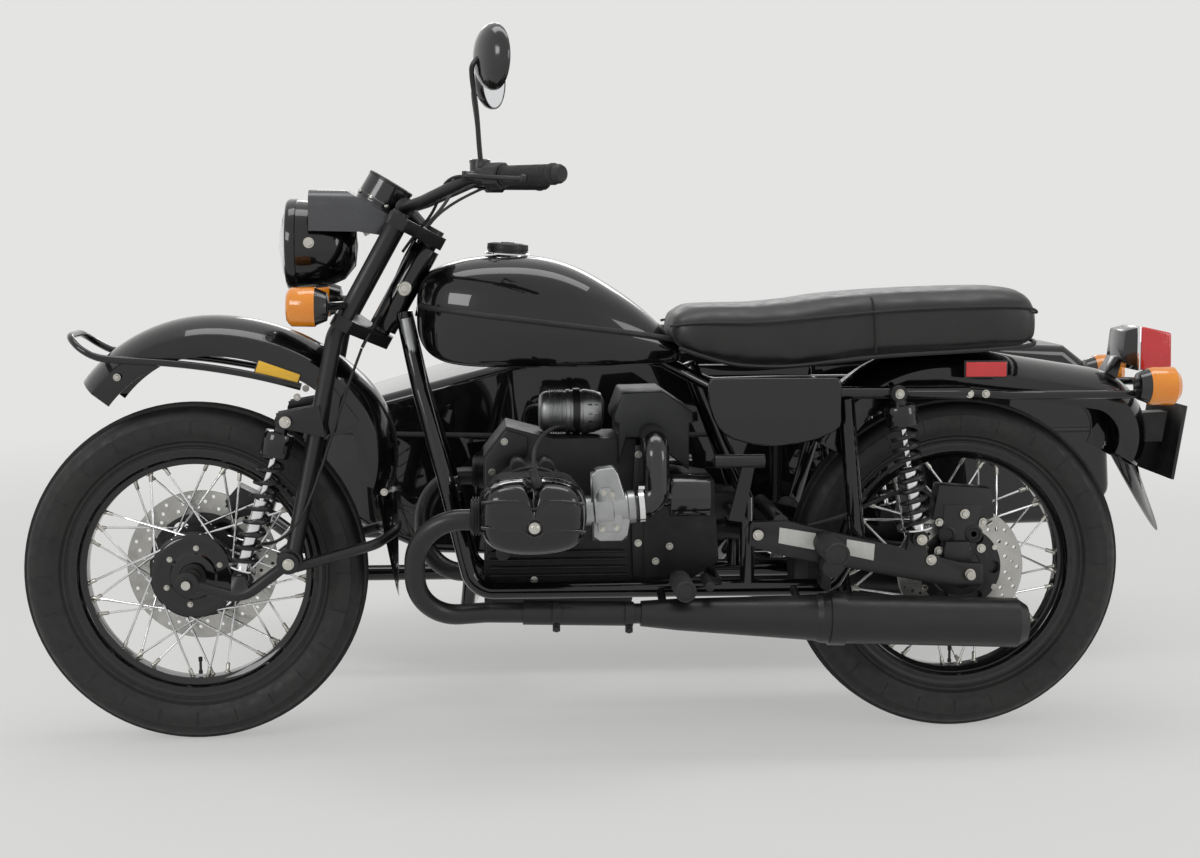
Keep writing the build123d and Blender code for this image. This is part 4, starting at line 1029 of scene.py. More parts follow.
@dataclass
class FuelTank:
    """The teardrop tank: one raised skin, its filler cap and the bands along its flanks."""

    # x behind the axle, top of the crown, lower edge, half width, height of the widest line
    stations: tuple[tuple[float, ...], ...] = (
        (429, 538, 474, 30, 500), (437, 563, 446, 60, 502), (452, 580, 424, 84, 500),
        (480, 594, 408, 108, 498), (520, 606, 402, 126, 494), (570, 612, 400, 139, 488),
        (630, 614, 400, 146, 482), (690, 607, 400, 146, 476), (745, 588, 401, 138, 468),
        (800, 556, 402, 124, 458), (850, 522, 403, 105, 448), (895, 482, 404, 84, 440),
        (925, 450, 405, 66, 430), (941, 432, 408, 52, 422))

    def ring(self, x: float, top: float, low: float, wide: float, belly: float) -> list[Vector]:
        """One cross-section: a round crown, full flanks and a rolled-in lower edge.

        Args:
            x: The section's place along the machine.
            top: The crown's height.
            low: The lower edge's height.
            wide: Half its width.
            belly: The height of its widest line.

        Returns:
            The section's points in metres.
        """
        flank = [(0.0, 1.0), (0.3, 0.985), (0.56, 0.92), (0.77, 0.78), (0.92, 0.54), (0.99, 0.24), (1.0, 0.0)]
        right = [(wide * a, belly + (top - belly) * b) for a, b in flank]
        under = [(0.985, 0.3), (0.955, 0.62), (0.91, 0.88), (0.83, 0.985), (0.6, 1.0), (0.3, 1.0), (0.0, 1.0)]
        right += [(wide * a, belly + (low - belly) * b) for a, b in under]
        left = [(-y, z) for y, z in reversed(right[1:-1])]
        return [spot(x, y, z) for y, z in right + left]

    def build(self) -> None:
        """Raise the tank and fit what it carries."""
        skin = lofted("fuel_tank_skin", [self.ring(*row) for row in self.stations])
        apply_modifier(skin, "SUBSURF", levels=2, render_levels=2)
        tunnel = block(
            "tank_tunnel", spot(690, 0, 436), (560, 58, 108), Matrix.Rotation(radians(11), 3, "Y"), 0)
        fit(carved(skin, tunnel), BLACK_ENAMEL, "root", 50)
        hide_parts("fuel_tank")
        self.cap()
        self.piping()

    def cap(self) -> None:
        """The round filler cap with its knurled edge, on its neck."""
        foot = spot(605, 0, 611)
        up = foot + Vector((0.06, 0, 1))
        neck = turned("filler_neck", [(0, 0), (46, 0), (46, 2.5), (40, 6), (0, 6)], foot, up, 48)
        fit(neck, CHROME)
        lid = turned(
            "filler_cap", [(0, 5), (38, 5), (39, 6.5), (39, 18), (36.5, 21), (30, 22.4), (29, 21.6),
            (14, 22.6), (13, 24), (0, 24.6)], foot, up, 60)
        fit(lid, SATIN_POWDER)
        tooth = block("cap_knurl", foot + Vector((0.0393, 0, 0.0125)), (2.2, 2.4, 11), None, 0.3, 1)
        fit(ringed(tooth, 40, foot, (up - foot).normalized()), SATIN_POWDER)

    def piping(self) -> None:
        """The rubber band along each flank, with a grey line along it that is a painted highlight."""
        route = [
            (438, 62, 516), (460, 92, 513), (500, 116, 508), (560, 136.5, 501), (630, 145.5, 493),
            (700, 144.5, 484), (760, 134.5, 476), (820, 117, 468), (870, 97, 460), (915, 72, 452),
            (936, 57, 447)]
        # the second, thin grey tube on top of the rubber band is a painted highlight
        for lift, width, finish in ((0.0, 5.6, SOFT_RUBBER), (2.4, 2.0, GREY_SATIN_AND_HIGHLIGHT)):
            left = tube(
                f"tank_band_{finish.slot}", [spot(x, -(y + lift + 1.2), z) for x, y, z in route], width, 12)
            fit(both(left, f"tank_bands_{finish.slot}"), finish)


# Front end

@dataclass
class FrontEnd:
    """Fork, links, lamp, controls and front guard: everything that steers."""

    lamp: Place = (178.0, 0.0, 630.0)
    lamp_radius: float = 88.0
    flute_gap: float = 15.0
    flute_reach: float = 67.0
    flute_bow: float = 560.0
    grip_ribs: int = 17
    rib_gap: float = 6.0
    grip_in: Place = (590.0, -296.0, 756.0)
    grip_out: Place = (680.0, -385.0, 757.0)
    mirror_head: Place = (573.0, -300.0, 962.0)
    shock_top: Place = (183.0, -116.0, 304.0)
    shock_low: Place = (96.0, -116.0, 6.0)

    def build(self, machine: Frame) -> None:
        """Dress the steering body.

        Args:
            machine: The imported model.
        """
        machine.dressed("fork", SATIN_POWDER, "steering", 1.2)
        machine.dressed("leading_links", SATIN_POWDER, "steering", 1.0)
        machine.dressed("front_mudguard", BLACK_ENAMEL, "steering", 0.9)
        machine.dressed("headlamp_cowl", GREY_SATIN_AND_HIGHLIGHT, "steering", 1.5, 3)
        machine.dressed("handlebar", SATIN_POWDER, "steering", 0.6)
        machine.dressed("front_caliper", SATIN_POWDER, "steering", 2.0, 3)
        machine.dressed("front_signals", GLOSS_ABS, "steering", 1.0)
        machine.paint(ZINC_PLATE, "front_axle")
        self.head_lamp()
        self.dial()
        self.shocks()
        self.controls()
        self.mirrors()
        self.trims()

    def head_lamp(self) -> None:
        """Shell, black rim with a bright lip, reflector, fluted lens, bulb and pivot bolts."""
        start = spot(*self.lamp)
        back = start + Vector((1, 0, 0))
        r = self.lamp_radius
        shell = turned(
            "lamp_shell", [(r - 8, 26), (r - 3, 24), (r - 3, 34), (r - 7, 80), (r - 22, 116), (r - 48, 137),
            (0, 142), (0, 139), (r - 50, 134), (r - 24, 113), (r - 9, 78), (r - 8, 34)], start, back, 64)
        fit(shell, BLACK_ENAMEL, "steering")
        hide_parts("headlamp")
        bezel = turned(
            "lamp_rim", [(r - 12, 10), (r - 9, 7), (r - 3, 9), (r, 14), (r, 27), (r - 5, 29), (r - 7, 26),
            (r - 7, 15)], start, back, 72)
        fit(bezel, BLACK_ENAMEL, "steering")
        lip = turned(
            "lamp_lip", [(r - 12.5, 9), (r - 9.4, 6.2), (r - 5, 7), (r - 4, 8.6), (r - 9, 9.4), (r - 11, 11)],
            start, back, 72)
        fit(lip, CHROME, "steering")
        dish = [(r - 9, 16), (r - 10, 19), (66, 44), (46, 70), (24, 88), (10, 93), (0, 94), (0, 92), (10, 91),
                (23, 86), (45, 68), (64, 42), (r - 12, 17)]
        fit(turned("lamp_reflector", dish, start, back, 64), CHROME, "steering")
        lens_out = [(0, -7.5), (30, -5.6), (58, 0.4), (r - 16, 6.4), (r - 10.5, 10.5)]
        lens_in = [(r - 11, 14.6), (r - 17, 10.6), (57, 4.6), (30, -1.6), (0, -3.4)]
        fit(turned("lamp_lens", lens_out + lens_in, start, back, 64), LAMP_GLASS, "steering", 60)
        bulb = turned(
            "lamp_bulb", [(0, 40), (5, 42), (7, 48), (7, 78), (11, 80), (11, 90), (0, 90)], start, back, 20)
        fit(bulb, ZINC_PLATE, "steering")
        z = self.lamp[2]
        flutes = []
        for n in range(-4, 5):
            y = n * self.flute_gap
            tall = (self.flute_reach ** 2 - y ** 2) ** 0.5
            bow = self.lamp[0] + y * y / self.flute_bow
            route = [spot(bow + 5.6, y, z - tall * 0.96), spot(bow - 1.6, y, z),
                     spot(bow + 5.6, y, z + tall * 0.96)]
            flutes.append(tube(f"lens_flute_{n + 4}", route, 1.3, 8))
        fit(joined("lens_flutes", flutes), LAMP_GLASS, "steering")
        for side in (LEFT, RIGHT):
            head = spot(234, side * 99, 636)
            fit(
                bolt(f"lamp_bolt_{side + 1}", head + Vector((0, side * 0.001, 0)),
                head - Vector((0, side, 0)), 13, 8), ZINC_PLATE, "steering")

    def dial(self) -> None:
        """The round speedometer on the cowl: cup, rim, face, marks and needle."""
        lean = radians(31)
        up = Vector((sin(lean), 0, cos(lean)))
        foot = spot(359, 0, 706)
        top = foot + up * 0.048
        rim = turned(
            "dial_bezel", [(38.5, -1), (45.6, -3), (46.4, -1), (46, 2.2), (43, 3.6), (38.5, 2.4)], top,
            top + up, 56)
        fit(rim, SATIN_POWDER, "steering")
        fit(turned("dial_face", [(0, -3), (38.4, -3), (38.4, 0.2), (0, 0.2)], top, top + up, 48), DIAL_BLACK,
            "steering")
        cup = turned(
            "dial_cup", [(44.6, -48), (46.6, -48), (46.6, -40), (45.7, -39), (45.7, 0), (44.6, 0)], top,
            top + up, 56)
        fit(cup, GLOSS_ABS, "steering")
        along = ACROSS.cross(up)
        studs = []
        for n in range(4):
            turn = radians(-62 + n * 41)
            ray = -ACROSS * cos(turn) + along * sin(turn)
            studs.append(turned(f"dial_stud_{n}", [(0, 0), (4, 0), (4, 3), (2.4, 4.4), (0, 4.6)],
                                foot + up * 0.006 + ray * 0.0464, foot + up * 0.006 + ray, 14))
        fit(joined("dial_studs", studs), ZINC_PLATE, "steering")
        zero = -30
        marks = []
        for n in range(25):
            turn = radians(zero + n * 10)
            ray = ACROSS * cos(turn) + along * sin(turn)
            long = 7.0 if n % 2 == 0 else 4.0
            here = top + up * 0.0006 + ray * ((35 - long / 2) / 1000)
            basis = Matrix((ray, up.cross(ray), up)).transposed()
            marks.append(block(f"dial_mark_{n}", here, (long, 1.3 if n % 2 == 0 else 0.7, 0.5), basis, 0))
        fit(joined("dial_marks", marks), WHITE_ENAMEL, "steering")
        ray = ACROSS * cos(radians(zero)) + along * sin(radians(zero))
        basis = Matrix((ray, up.cross(ray), up)).transposed()
        needle = block("dial_needle", top + up * 0.0018 + ray * 0.011, (34, 1.6, 0.7), basis, 0.2)
        hub = rod("dial_boss", top, top + up * 0.0032, 5, 0.8)
        fit(needle, NEEDLE_ORANGE, "steering")
        fit(hub, SATIN_POWDER, "steering")

    def shocks(self) -> None:
        """The two front coil-over dampers."""
        left = CoilOver("front_damper", self.shock_low, self.shock_top, 26, 29, 8.5).parts()
        for label, piece, finish in left:
            fit(both(piece, label), finish, "steering", 45)
        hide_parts("front_shocks")

    def controls(self) -> None:
        """Ribbed grips, switch boxes, levers with their perches, and the master cylinder."""
        inner, outer = Vector(self.grip_in), Vector(self.grip_out)
        run = (outer - inner).normalized()
        ribs = [(11.4, 0), (17.5, 0), (18.6, 1), (18.6, 4), (16.4, 5)]
        for n in range(self.grip_ribs):
            y = n * self.rib_gap
            ribs += [(16.4, 8 + y), (17.4, 9 + y), (17.4, 11.4 + y), (16.4, 12.4 + y)]
        ribs += [(16.4, 112), (19, 114), (19, 120), (16, 124), (11.4, 124)]
        start = outer - run * 118
        grip = turned("grip_left", ribs, spot(*start), spot(*outer), 36)
        fit(both(grip, "grips"), SOFT_RUBBER, "steering", 30)
        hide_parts("hand_controls")
        weight = turned("bar_end_left", [(0, 6), (15, 6), (17, 8), (17, 14), (14, 20), (0, 20)], spot(*outer),
                        spot(*(outer + run)), 28)
        fit(both(weight, "bar_ends"), SOFT_RUBBER, "steering")
        pod = outer - run * 156
        box = turned(
            "switch_box_left", [(11.5, 0), (21, 0), (24, 3), (24, 35), (21, 37.6), (11.5, 37.6)], spot(*pod),
            spot(*outer), 10)
        button = block("switch_thumb", spot(*(pod + run * 20 + Vector((22, 0, 4)))), (9, 7, 12), None, 1.6)
        fit(both(joined("switch_box_left", [box, button]), "switch_boxes"), GRAINED_ABS, "steering", 30)
        perch = turned(
            "lever_perch_left", [(11.3, 0), (18, 0), (18, 19.6), (11.3, 19.6)], spot(*(pod - run * 20)),
            spot(*pod), 24)
        pivot = pod - run * 12 + Vector((-34, 0, 0))
        arm = rod("perch_arm", spot(*(pod - run * 12 + Vector((-12, 0, 0)))), spot(*pivot), 8.6, 1.2, 16)
        fit(both(joined("lever_perch_left", [perch, arm]), "lever_perches"), SATIN_POWDER, "steering")
        end = outer + Vector((-52, -2, -8))
        blade = tube(
            "lever_left", [spot(*pivot), spot(*(pivot + run * 24 + Vector((-10, 0, 0)))),
            spot(*(pivot + run * 70 + Vector((-6, 0, -3)))), spot(*(end - run * 20)), spot(*end)], 4.6, 12)
        ball = turned("lever_ball", [(0, -8), (5.6, -5.6), (8, 0), (5.6, 5.6), (0, 8)], spot(*end),
                      spot(*(end + run)), 20)
        pin = rod(
            "lever_pin", spot(*(pivot + Vector((0, 0, -9)))), spot(*(pivot + Vector((0, 0, 9)))), 5, 1, 12)
        fit(both(joined("lever_left", [blade, ball, pin]), "hand_levers"), SATIN_POWDER, "steering", 50)
        pot = Vector((pod.x - 16, -pod.y - 34, pod.z + 10))
        tub = turned(
            "brake_reservoir", [(0, 0), (18, 0), (21, 3), (21, 26), (22, 27), (22, 33), (19, 35), (0, 35)],
            spot(*pot), spot(*(pot + Vector((0, 0, 1)))), 36)
        fit(tub, GLOSS_ABS, "steering")
        hoses = [
            ("brake_hose_upper", 3.4,
             [pot + Vector((-10, -8, 0)), pot + Vector((-40, -46, -2)), Vector((480, 110, 700)),
              Vector((420, 62, 640)), Vector((372, -40, 520)), Vector((330, -92, 440))]),
            ("clutch_cable", 3.0,
             [pivot + Vector((2, 8, 0)), pivot + Vector((-34, 60, 4)), Vector((470, -120, 694)),
              Vector((428, -66, 648)), Vector((406, -46, 618))]),
            ("throttle_cable", 3.0,
             [Vector((560, 262, 742)), Vector((500, 200, 716)), Vector((440, 80, 660)),
              Vector((404, 40, 580))]),
            ("front_brake_line", 3.0,
             [Vector((331, -122, 440)), Vector((300, -124, 360)), Vector((262, -126, 240)),
              Vector((214, -124, 110)), Vector((150, -100, 60)), Vector((118, -92, 70))])]
        for label, radius, points in hoses:
            fit(tube(label, [spot(*p) for p in points], radius, 10), SOFT_RUBBER, "steering", 60)

    def mirrors(self) -> None:
        """Stalks with their nuts, and the shells with their glasses."""
        look = Vector((cos(radians(25)), sin(radians(25)), 0))
        head = Vector(self.mirror_head)
        stalk = tube(
            "mirror_stalk_left", [spot(556, -262, 776), spot(553, -264, 800), spot(549, -268, 870),
            spot(540, -292, 930), spot(541, -300, 950), spot(552, -301, 959)], 4.6, 12)
        nut = turned(
            "mirror_nut", [(0, 0), (9, 0), (10, 2), (10, 16), (7, 20), (0, 20)], spot(556, -262, 764),
            spot(556, -262, 800), 6)
        fit(both(joined("mirror_stalk_left", [stalk, nut]), "mirror_stalks"), SATIN_POWDER, "steering")
        r = 58
        back = head - look * 22
        shell = turned(
            "mirror_shell_left", [(0, 0), (r * 0.3, 0.8), (r * 0.55, 4), (r * 0.8, 10.5), (r * 0.95, 19),
            (r, 26), (r, 32), (r - 1, 34), (r - 3.4, 34), (r - 3.6, 32), (0, 32)], spot(*back),
            spot(*(back + look)), 48)
        fit(both(shell, "mirror_shells"), GLOSS_ABS, "steering", 35)
        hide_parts("mirrors")
        glass = turned("mirror_glass_left", [(0, 32.1), (r - 4, 32.1), (r - 4, 33.2), (0, 33.2)], spot(*back),
                       spot(*(back + look)), 48)
        fit(both(glass, "mirror_glasses"), MIRROR_GLASS, "steering")

    def trims(self) -> None:
        """Guard reflectors, signal lenses, guard hoop, bolt heads and the stem nut."""
        lean = Matrix.Rotation(radians(19.6), 3, "Y")
        reflector = block("guard_reflector", spot(170, -86.4, 389), (82, 4, 27), lean, 1.4, 3)
        fit(both(reflector, "guard_reflectors"), YELLOW_PRISM, "steering")
        backing = block("reflector_backing", spot(170, -84.0, 389), (86, 3, 31), lean, 1.0, 2)
        fit(both(backing, "reflector_backings"), SATIN_POWDER, "steering")
        lens = turned(
            "signal_lens_left", [(0, -1), (26.4, -1), (31, 2.4), (35.9, 8), (36.9, 48), (36.6, 51), (34, 51),
            (33, 10), (24, 3), (0, 3)], spot(200, -172, 520), spot(300, -172, 520), 48)
        fit(both(lens, "signal_lenses"), AMBER_ACRYLIC, "steering")
        self.hoop()
        self.bolts()
        up = Vector((-sin(radians(29)), 0, cos(radians(29))))
        top = spot(407, 0, 548) + up * 0.122
        nut = turned(
            "stem_nut", [(0, 0), (19, 0), (19, 12), (15, 16), (8, 16), (7, 12), (0, 12)], top, top + up, 6)
        fit(nut, ZINC_PLATE, "steering")

    def hoop(self) -> None:
        """The thin tube along the guard's lower edge and round its nose."""
        left = [
            (214, -88, 365), (160, -88, 380), (95, -88, 394), (20, -88, 406), (-60, -88, 414),
            (-120, -88, 417), (-165, -87, 421), (-196, -82, 438), (-214, -66, 454), (-221, -44, 460),
            (-222, -20, 460)]
        right = [(x, -y, z) for x, y, z in reversed(left)]
        rail = tube("guard_hoop_rail", [spot(*p) for p in left + right], 7, 14)
        fit(rail, BLACK_ENAMEL, "steering", 60)
        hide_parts("mudguard_hoop")

    def bolts(self) -> None:
        """Bright bolt heads on guard and fork, and the caps on the steering head."""
        rows = (
            ("guard_bolts", 9, ((-128, -86.2, 385), (206, -86.2, 346), (280, -86.2, 299), (367, -86.4, 163))),
            ("fork_bolts", 14, ((190, -149, 37), (188, -139, 304))))
        for name, across, places in rows:
            heads = [bolt(f"{name}_{n}", spot(x, y, z), spot(x, 0, z), across, across * 0.55)
                     for n, (x, y, z) in enumerate(places)]
            fit(both(joined(name + "_left", heads), name), ZINC_PLATE, "steering")
        head = turned(
            "steering_stop_left", [(0, 0), (13, 0), (14, 2), (14, 7), (11, 9), (8, 9), (7, 7), (0, 7)],
            spot(408, -36, 548), spot(408, -60, 548), 32)
        fit(both(head, "steering_head_caps"), ZINC_PLATE)


@dataclass
class CoilOver:
    """A coil-over damper: eyes, bright body, spring, upper can and bolts."""

    name: str
    low: Place
    top: Place
    spring_radius: float
    can_radius: float
    turns: float
    wire: float = 4.2
    steps_a_turn: int = 14
    # where the spring starts above the lower eye, and its end as a share of the damper's length
    spring_foot: float = 24.0
    spring_end: float = 0.78

    def parts(self) -> list[tuple[str, Piece, Finish]]:
        """Make the damper's pieces on one side.

        Returns:
            Each piece with its name and its finish.
        """
        a, b = Vector(self.low), Vector(self.top)
        run = (b - a).length
        up = (b - a).normalized()
        side = ACROSS
        across = up.cross(side)
        first, last = self.spring_foot, run * self.spring_end
        r = self.spring_radius - self.wire
        steps = int(self.turns * self.steps_a_turn)
        route = []
        for n in range(steps + 1):
            turn = 2 * pi * self.turns * n / steps
            rise = up * (first + (last - first) * n / steps)
            route.append(spot(*(a + rise + side * (r * cos(turn)) + across * (r * sin(turn)))))
        spring = tube(self.name + "_spring_left", route, self.wire, 10)
        start, end = spot(*a), spot(*b)
        body = turned(
            self.name + "_body_left", [(0, 12), (11, 12), (11, 17), (r + 6, 18), (r + 6, first - 3),
            (13, first - 2), (13, run * 0.5), (6, run * 0.5), (6, run - 14), (0, run - 14)], start, end, 32)
        can = turned(
            self.name + "_can_left", [(7, last), (self.can_radius - 2, last), (self.can_radius, last + 2),
            (self.can_radius, run - 28), (self.can_radius - 3, run - 23), (13, run - 21), (13, run - 12),
            (7, run - 12)], start, end, 40)
        eyes = []
        for n, place in enumerate((a, b)):
            eyes.append(
                turned(f"{self.name}_eye_{n}", [(5.2, -12), (15, -12), (16, -11), (16, 11), (15, 12),
                (5.2, 12)], spot(*place), spot(*(place + side)), 28))
        sleeve = joined(self.name + "_eyes_left", eyes)
        heads = []
        for n, place in enumerate((a, b)):
            out = Vector((0, -1 if a.y < 0 else 1, 0))
            heads.append(bolt(f"{self.name}_bolt_{n}", spot(*(place + out * 12.3)), spot(*place), 12, 7))
        return [(self.name + "_spring", spring, SATIN_POWDER), (self.name + "_body", body, STAINLESS),
                (self.name + "_can", can, BLACK_ENAMEL), (self.name + "_eyes", sleeve, SATIN_POWDER),
                (self.name + "_bolts", joined(self.name + "_bolts_left", heads), ZINC_PLATE)]


# Engine

@dataclass
class FlatTwin:
    """The flat twin engine with all that hangs on it."""

    bore: tuple[float, float] = (645.0, 148.0)
    cover_y: float = 312.3
    fins: int = 9
    fin_gap: float = 12.2
    head_fins: int = 6
    head_fin_gap: float = 13.2
    flank: float = 78.3

    def build(self, machine: Frame) -> None:
        """Dress the block and build covers, fins, alternator and pipes.

        Args:
            machine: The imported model.
        """
        machine.dressed("engine_block", BLACK_CASTING, "root", 3.0, 3)
        machine.dressed("air_box", GRAINED_ABS, "root", 4.0, 3)
        machine.dressed("kick_starter", SATIN_POWDER, "root", 1.5)
        machine.dressed("final_drive", BLACK_CASTING, "root", 1.5)
        machine.paint(HEAT_PAINT, "exhaust_pipes", "silencers")
        self.rocker_covers()
        self.barrels()
        self.alternator()
        self.intakes(machine)
        self.crankcase_details()
        self.exhaust_details()

    def cover_outline(self, grow: float, dip: float = 0.0) -> list[tuple[float, float]]:
        """The cover's barrel-shaped outline with the notch at the plug.

        Args:
            grow: How far the outline stands outside its nominal line, in millimetres.
            dip: How deep the notch at the plug is, in millimetres.

        Returns:
            Pairs of X and Z places.
        """
        rough = [
            (-98, 0), (-97, 28), (-93, 46), (-82, 60), (-64, 69), (-44, 73), (-27, 74.5), (-16, 74.5),
            (-9, 70), (-2, 66), (5, 70), (12, 74.5), (24, 74.5), (44, 73), (64, 68), (80, 58), (90, 45),
            (94, 28), (95, 0), (92, -28), (84, -45), (64, -57), (30, -64), (-4, -66), (-38, -64), (-70, -56),
            (-88, -42), (-96, -24)]
        x0, z0 = self.bore
        # the share of the notch's depth that each point near the plug takes
        notch = {7: 0.15, 8: 0.7, 9: 1.0, 10: 0.7, 11: 0.15}
        rows = []
        for n, (x, z) in enumerate(rough):
            arm = (x * x + z * z) ** 0.5
            drop = dip * notch.get(n, 0.0)
            rows.append((x0 + x * (1 + grow / arm), z0 + z * (1 + grow / arm) - drop))
        return rows

    def rocker_covers(self) -> None:
        """The domed covers: a barrel-shaped casting with two raised lines, the plug's notch and its nut."""
        layers = (
            (0.0, 0.0, 0), (0.6, 4.0, 0), (-1.6, 7.0, 0), (-3.0, 9.5, 2), (-3.4, 26.0, 6), (-5.0, 40.0, 14),
            (-9.0, 50.0, 20), (-15.0, 58.0, 22), (-26.0, 64.5, 19), (-44.0, 68.5, 11), (-60.0, 70.0, 4))
        rings = []
        for grow, out, dip in layers:
            y = -(self.cover_y + out)
            rings.append([spot(x, y, z) for x, z in self.cover_outline(grow, dip)])
        dome = lofted("rocker_cover_left", rings)
        apply_modifier(dome, "SUBSURF", levels=2, render_levels=2)
        x0, z0 = self.bore
        face = -(self.cover_y + 66)
        upper = [
            (-92, 37, 12), (-84, 38, 7), (-60, 39.5, 1.5), (-34, 40, 0), (-22, 38, 0), (-13, 29, -1.6),
            (-2, 25.5, -2.4), (9, 29, -1.6), (18, 38, 0), (34, 40, 0), (60, 37.5, 1.5), (80, 34, 7),
            (88, 33, 12)]
        lower = [
            (-93, -8, 11), (-84, -8.5, 6), (-60, -9.5, 0), (-20, -11, -2.8), (-12, -20, -2.8), (0, -24, -2.6),
            (12, -20, -2.8), (20, -12, -2.8), (60, -14, 0), (82, -16, 6), (90, -17, 11)]
        ribs = [tube(f"cover_line_{n}", [spot(x0 + x, face + y, z0 + z) for x, z, y in line], 3.0, 12)
                for n, line in enumerate((upper, lower))]
        boss = turned("cover_boss", [(0, 40), (17, 40), (15, 68), (12.5, 72.4), (0, 72.4)],
                      spot(x0, -self.cover_y, z0 - 7), spot(x0, -self.cover_y - 1, z0 - 7), 36)
        left = joined("rocker_cover_left", [dome, *ribs, boss])
        fit(both(left, "rocker_cover_castings"), BLACK_ENAMEL, "root", 45)
        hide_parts("rocker_covers")
        nut = bolt("cover_nut_left", spot(x0, -self.cover_y - 72.2, z0 - 7), spot(x0, 0, z0 - 7), 13, 8)
        fit(both(nut, "cover_nuts"), ZINC_PLATE)
        line = self.cover_outline(0.8)
        gasket = flat_cut("cover_gasket_left", line, -self.cover_y + 0.1, -self.cover_y - 1.6, 0)
        fit(both(gasket, "cover_gaskets"), SOFT_RUBBER)
        caps = []
        for n, x in enumerate((620, 672)):
            caps.append(
                turned(f"rod_tube_{n}", [(0, 0), (14, 0), (14, 70), (16, 72), (16, 84), (12, 88), (0, 88)],
                spot(x, -118, 222), spot(x, -200, 224), 24))
        fit(both(joined("rod_tubes_left", caps), "rod_tubes"), BLACK_CASTING)
        cap = turned("plug_cap_left", [(0, 0), (9, 0), (10.5, 2), (10.5, 18), (8, 22), (8, 34), (0, 36)],
                     spot(652, -352, 208), spot(644, -352, 240), 20)
        lead = tube(
            "plug_lead_left", [spot(646, -352, 238), spot(642, -348, 268), spot(660, -280, 292),
            spot(690, -170, 296), spot(720, -90, 286), spot(730, -52, 276)], 3.6, 10)
        fit(both(joined("plug_cap_left", [cap, lead]), "plug_caps"), SOFT_RUBBER)

    def barrels(self) -> None:
        """Thin cast fins on barrels and heads."""
        x0, z0 = self.bore
        start, out = spot(x0, -112, z0), spot(x0, -300, z0)
        profile = [(30, 0), (66, 0), (66, 8)]
        for n in range(self.fins):
            y = 14 + n * self.fin_gap
            profile += [(58, y - 1.8), (79, y - 1.1), (80, y), (79, y + 1.1), (58, y + 1.8)]
        profile += [(58, 124), (30, 124)]
        barrel = turned("barrel_left", profile, start, out, 64)
        fins = []
        for n in range(self.head_fins):
            y = -(238 + n * self.head_fin_gap)
            grow = 0 if n else -3
            outline = [
                (-86 - grow, -40), (-88 - grow, 0), (-86 - grow, 46), (-70, 66), (-58, 71), (0, 74), (58, 71),
                (70, 66), (86 + grow, 46), (88 + grow, 0), (86 + grow, -40), (66, -58), (0, -62), (-66, -58)]
            fins.append(flat_cut(f"head_fin_{n}", [(x0 + x, z0 + z) for x, z in outline], y, y - 3.4, 0.7, 1))
        core = flat_cut(
            "head_core", [(x0 - 66, z0 - 44), (x0 - 66, z0 + 54), (x0 - 50, z0 + 60), (x0 + 50, z0 + 60),
            (x0 + 66, z0 + 54), (x0 + 66, z0 - 44), (x0 + 50, z0 - 50), (x0 - 50, z0 - 50)], -236, -312, 3, 2)
        left = joined("barrel_left", [barrel, core, *fins])
        fit(both(left, "finned_cylinders"), BLACK_CASTING, "root", 35)
        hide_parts("cylinders")

    def alternator(self) -> None:
        """The ribbed alternator with its vented end and the strap round it."""
        start, back = spot(664, 0, 306), spot(760, 0, 306)
        profile = [(0, 0), (24, 0), (32, 2), (38, 8), (40, 14)]
        for n in range(6):
            profile += [(40, 20 + n * 5), (42.4, 21 + n * 5), (42.4, 22.4 + n * 5), (40, 23.4 + n * 5)]
        profile += [(40, 52), (43.5, 53), (43.5, 60), (42, 62), (42, 84), (43.5, 86), (43.5, 92), (41, 108),
                    (36, 121), (22, 127), (0, 127.5)]
        body = turned("alternator_body", profile, start, back, 64)
        vents = []
        for n in range(2):
            at = spot(664 + 99 + n * 12, 0, 306 + 41 - n * 1.5)
            vents.append(block(f"vent_{n}", at, (8, 5, 14), None, 1.6, 2))
        slots = ringed(joined("alternator_vents", vents), 16, start, Vector((1, 0, 0)))
        fit(carved(body, slots), BLASTED_ALUMINIUM, "root", 35)
        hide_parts("alternator")
        strap = turned(
            "alternator_strap", [(43.6, 66), (45.6, 66.4), (45.6, 79.6), (43.6, 80), (42.1, 80), (42.1, 66)],
            start, back, 56)
        fit(strap, SATIN_POWDER)

    def intakes(self, machine: Frame) -> None:
        """Throttle bodies, hose clips, elbows and the resonator cans.

        Args:
            machine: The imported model.
        """
        machine.dressed("intakes", GLOSS_ABS, "root", 1.0)
        body = turned(
            "throttle_left", [(20, 0), (27.6, 0), (30, 2), (30, 12), (28, 14), (28, 34), (33, 37), (33, 70),
            (28.5, 73), (28.5, 98), (30.5, 100), (30.5, 112), (28, 114), (20, 114)], spot(724, -205, 140.2),
            spot(842, -205, 150), 40)
        plate = flat_cut(
            "throttle_plate", [(757, 96), (753, 212), (764, 222), (796, 226), (804, 214), (828, 136),
            (822, 98), (812, 88), (770, 88)], -184, -227, 4, 3)
        cover = flat_cut(
            "throttle_cover", [(766, 106), (763, 176), (770, 188), (788, 190), (812, 132), (808, 106)], -226,
            -232, 2.4, 2)
        left = joined("throttle_left", [body, plate, cover])
        fit(both(left, "throttle_bodies"), BLASTED_ALUMINIUM, "root", 35)
        screws = [bolt(f"throttle_screw_{n}", spot(x, -232, z), spot(x, 0, z), 7, 4)
                  for n, (x, z) in enumerate(((774, 112), (800, 114), (776, 180), (792, 176)))]
        fit(both(joined("throttle_screws_left", screws), "throttle_screws"), ZINC_PLATE)
        clips = []
        for n, (x, z) in enumerate(((731, 140.9), (848, 150.4))):
            clips.append(turned(f"clip_{n}", [(28.4, -5), (31.6, -5), (31.6, 5), (28.4, 5)], spot(x, -205, z),
                                spot(x + 100, -205, z + 8), 40))
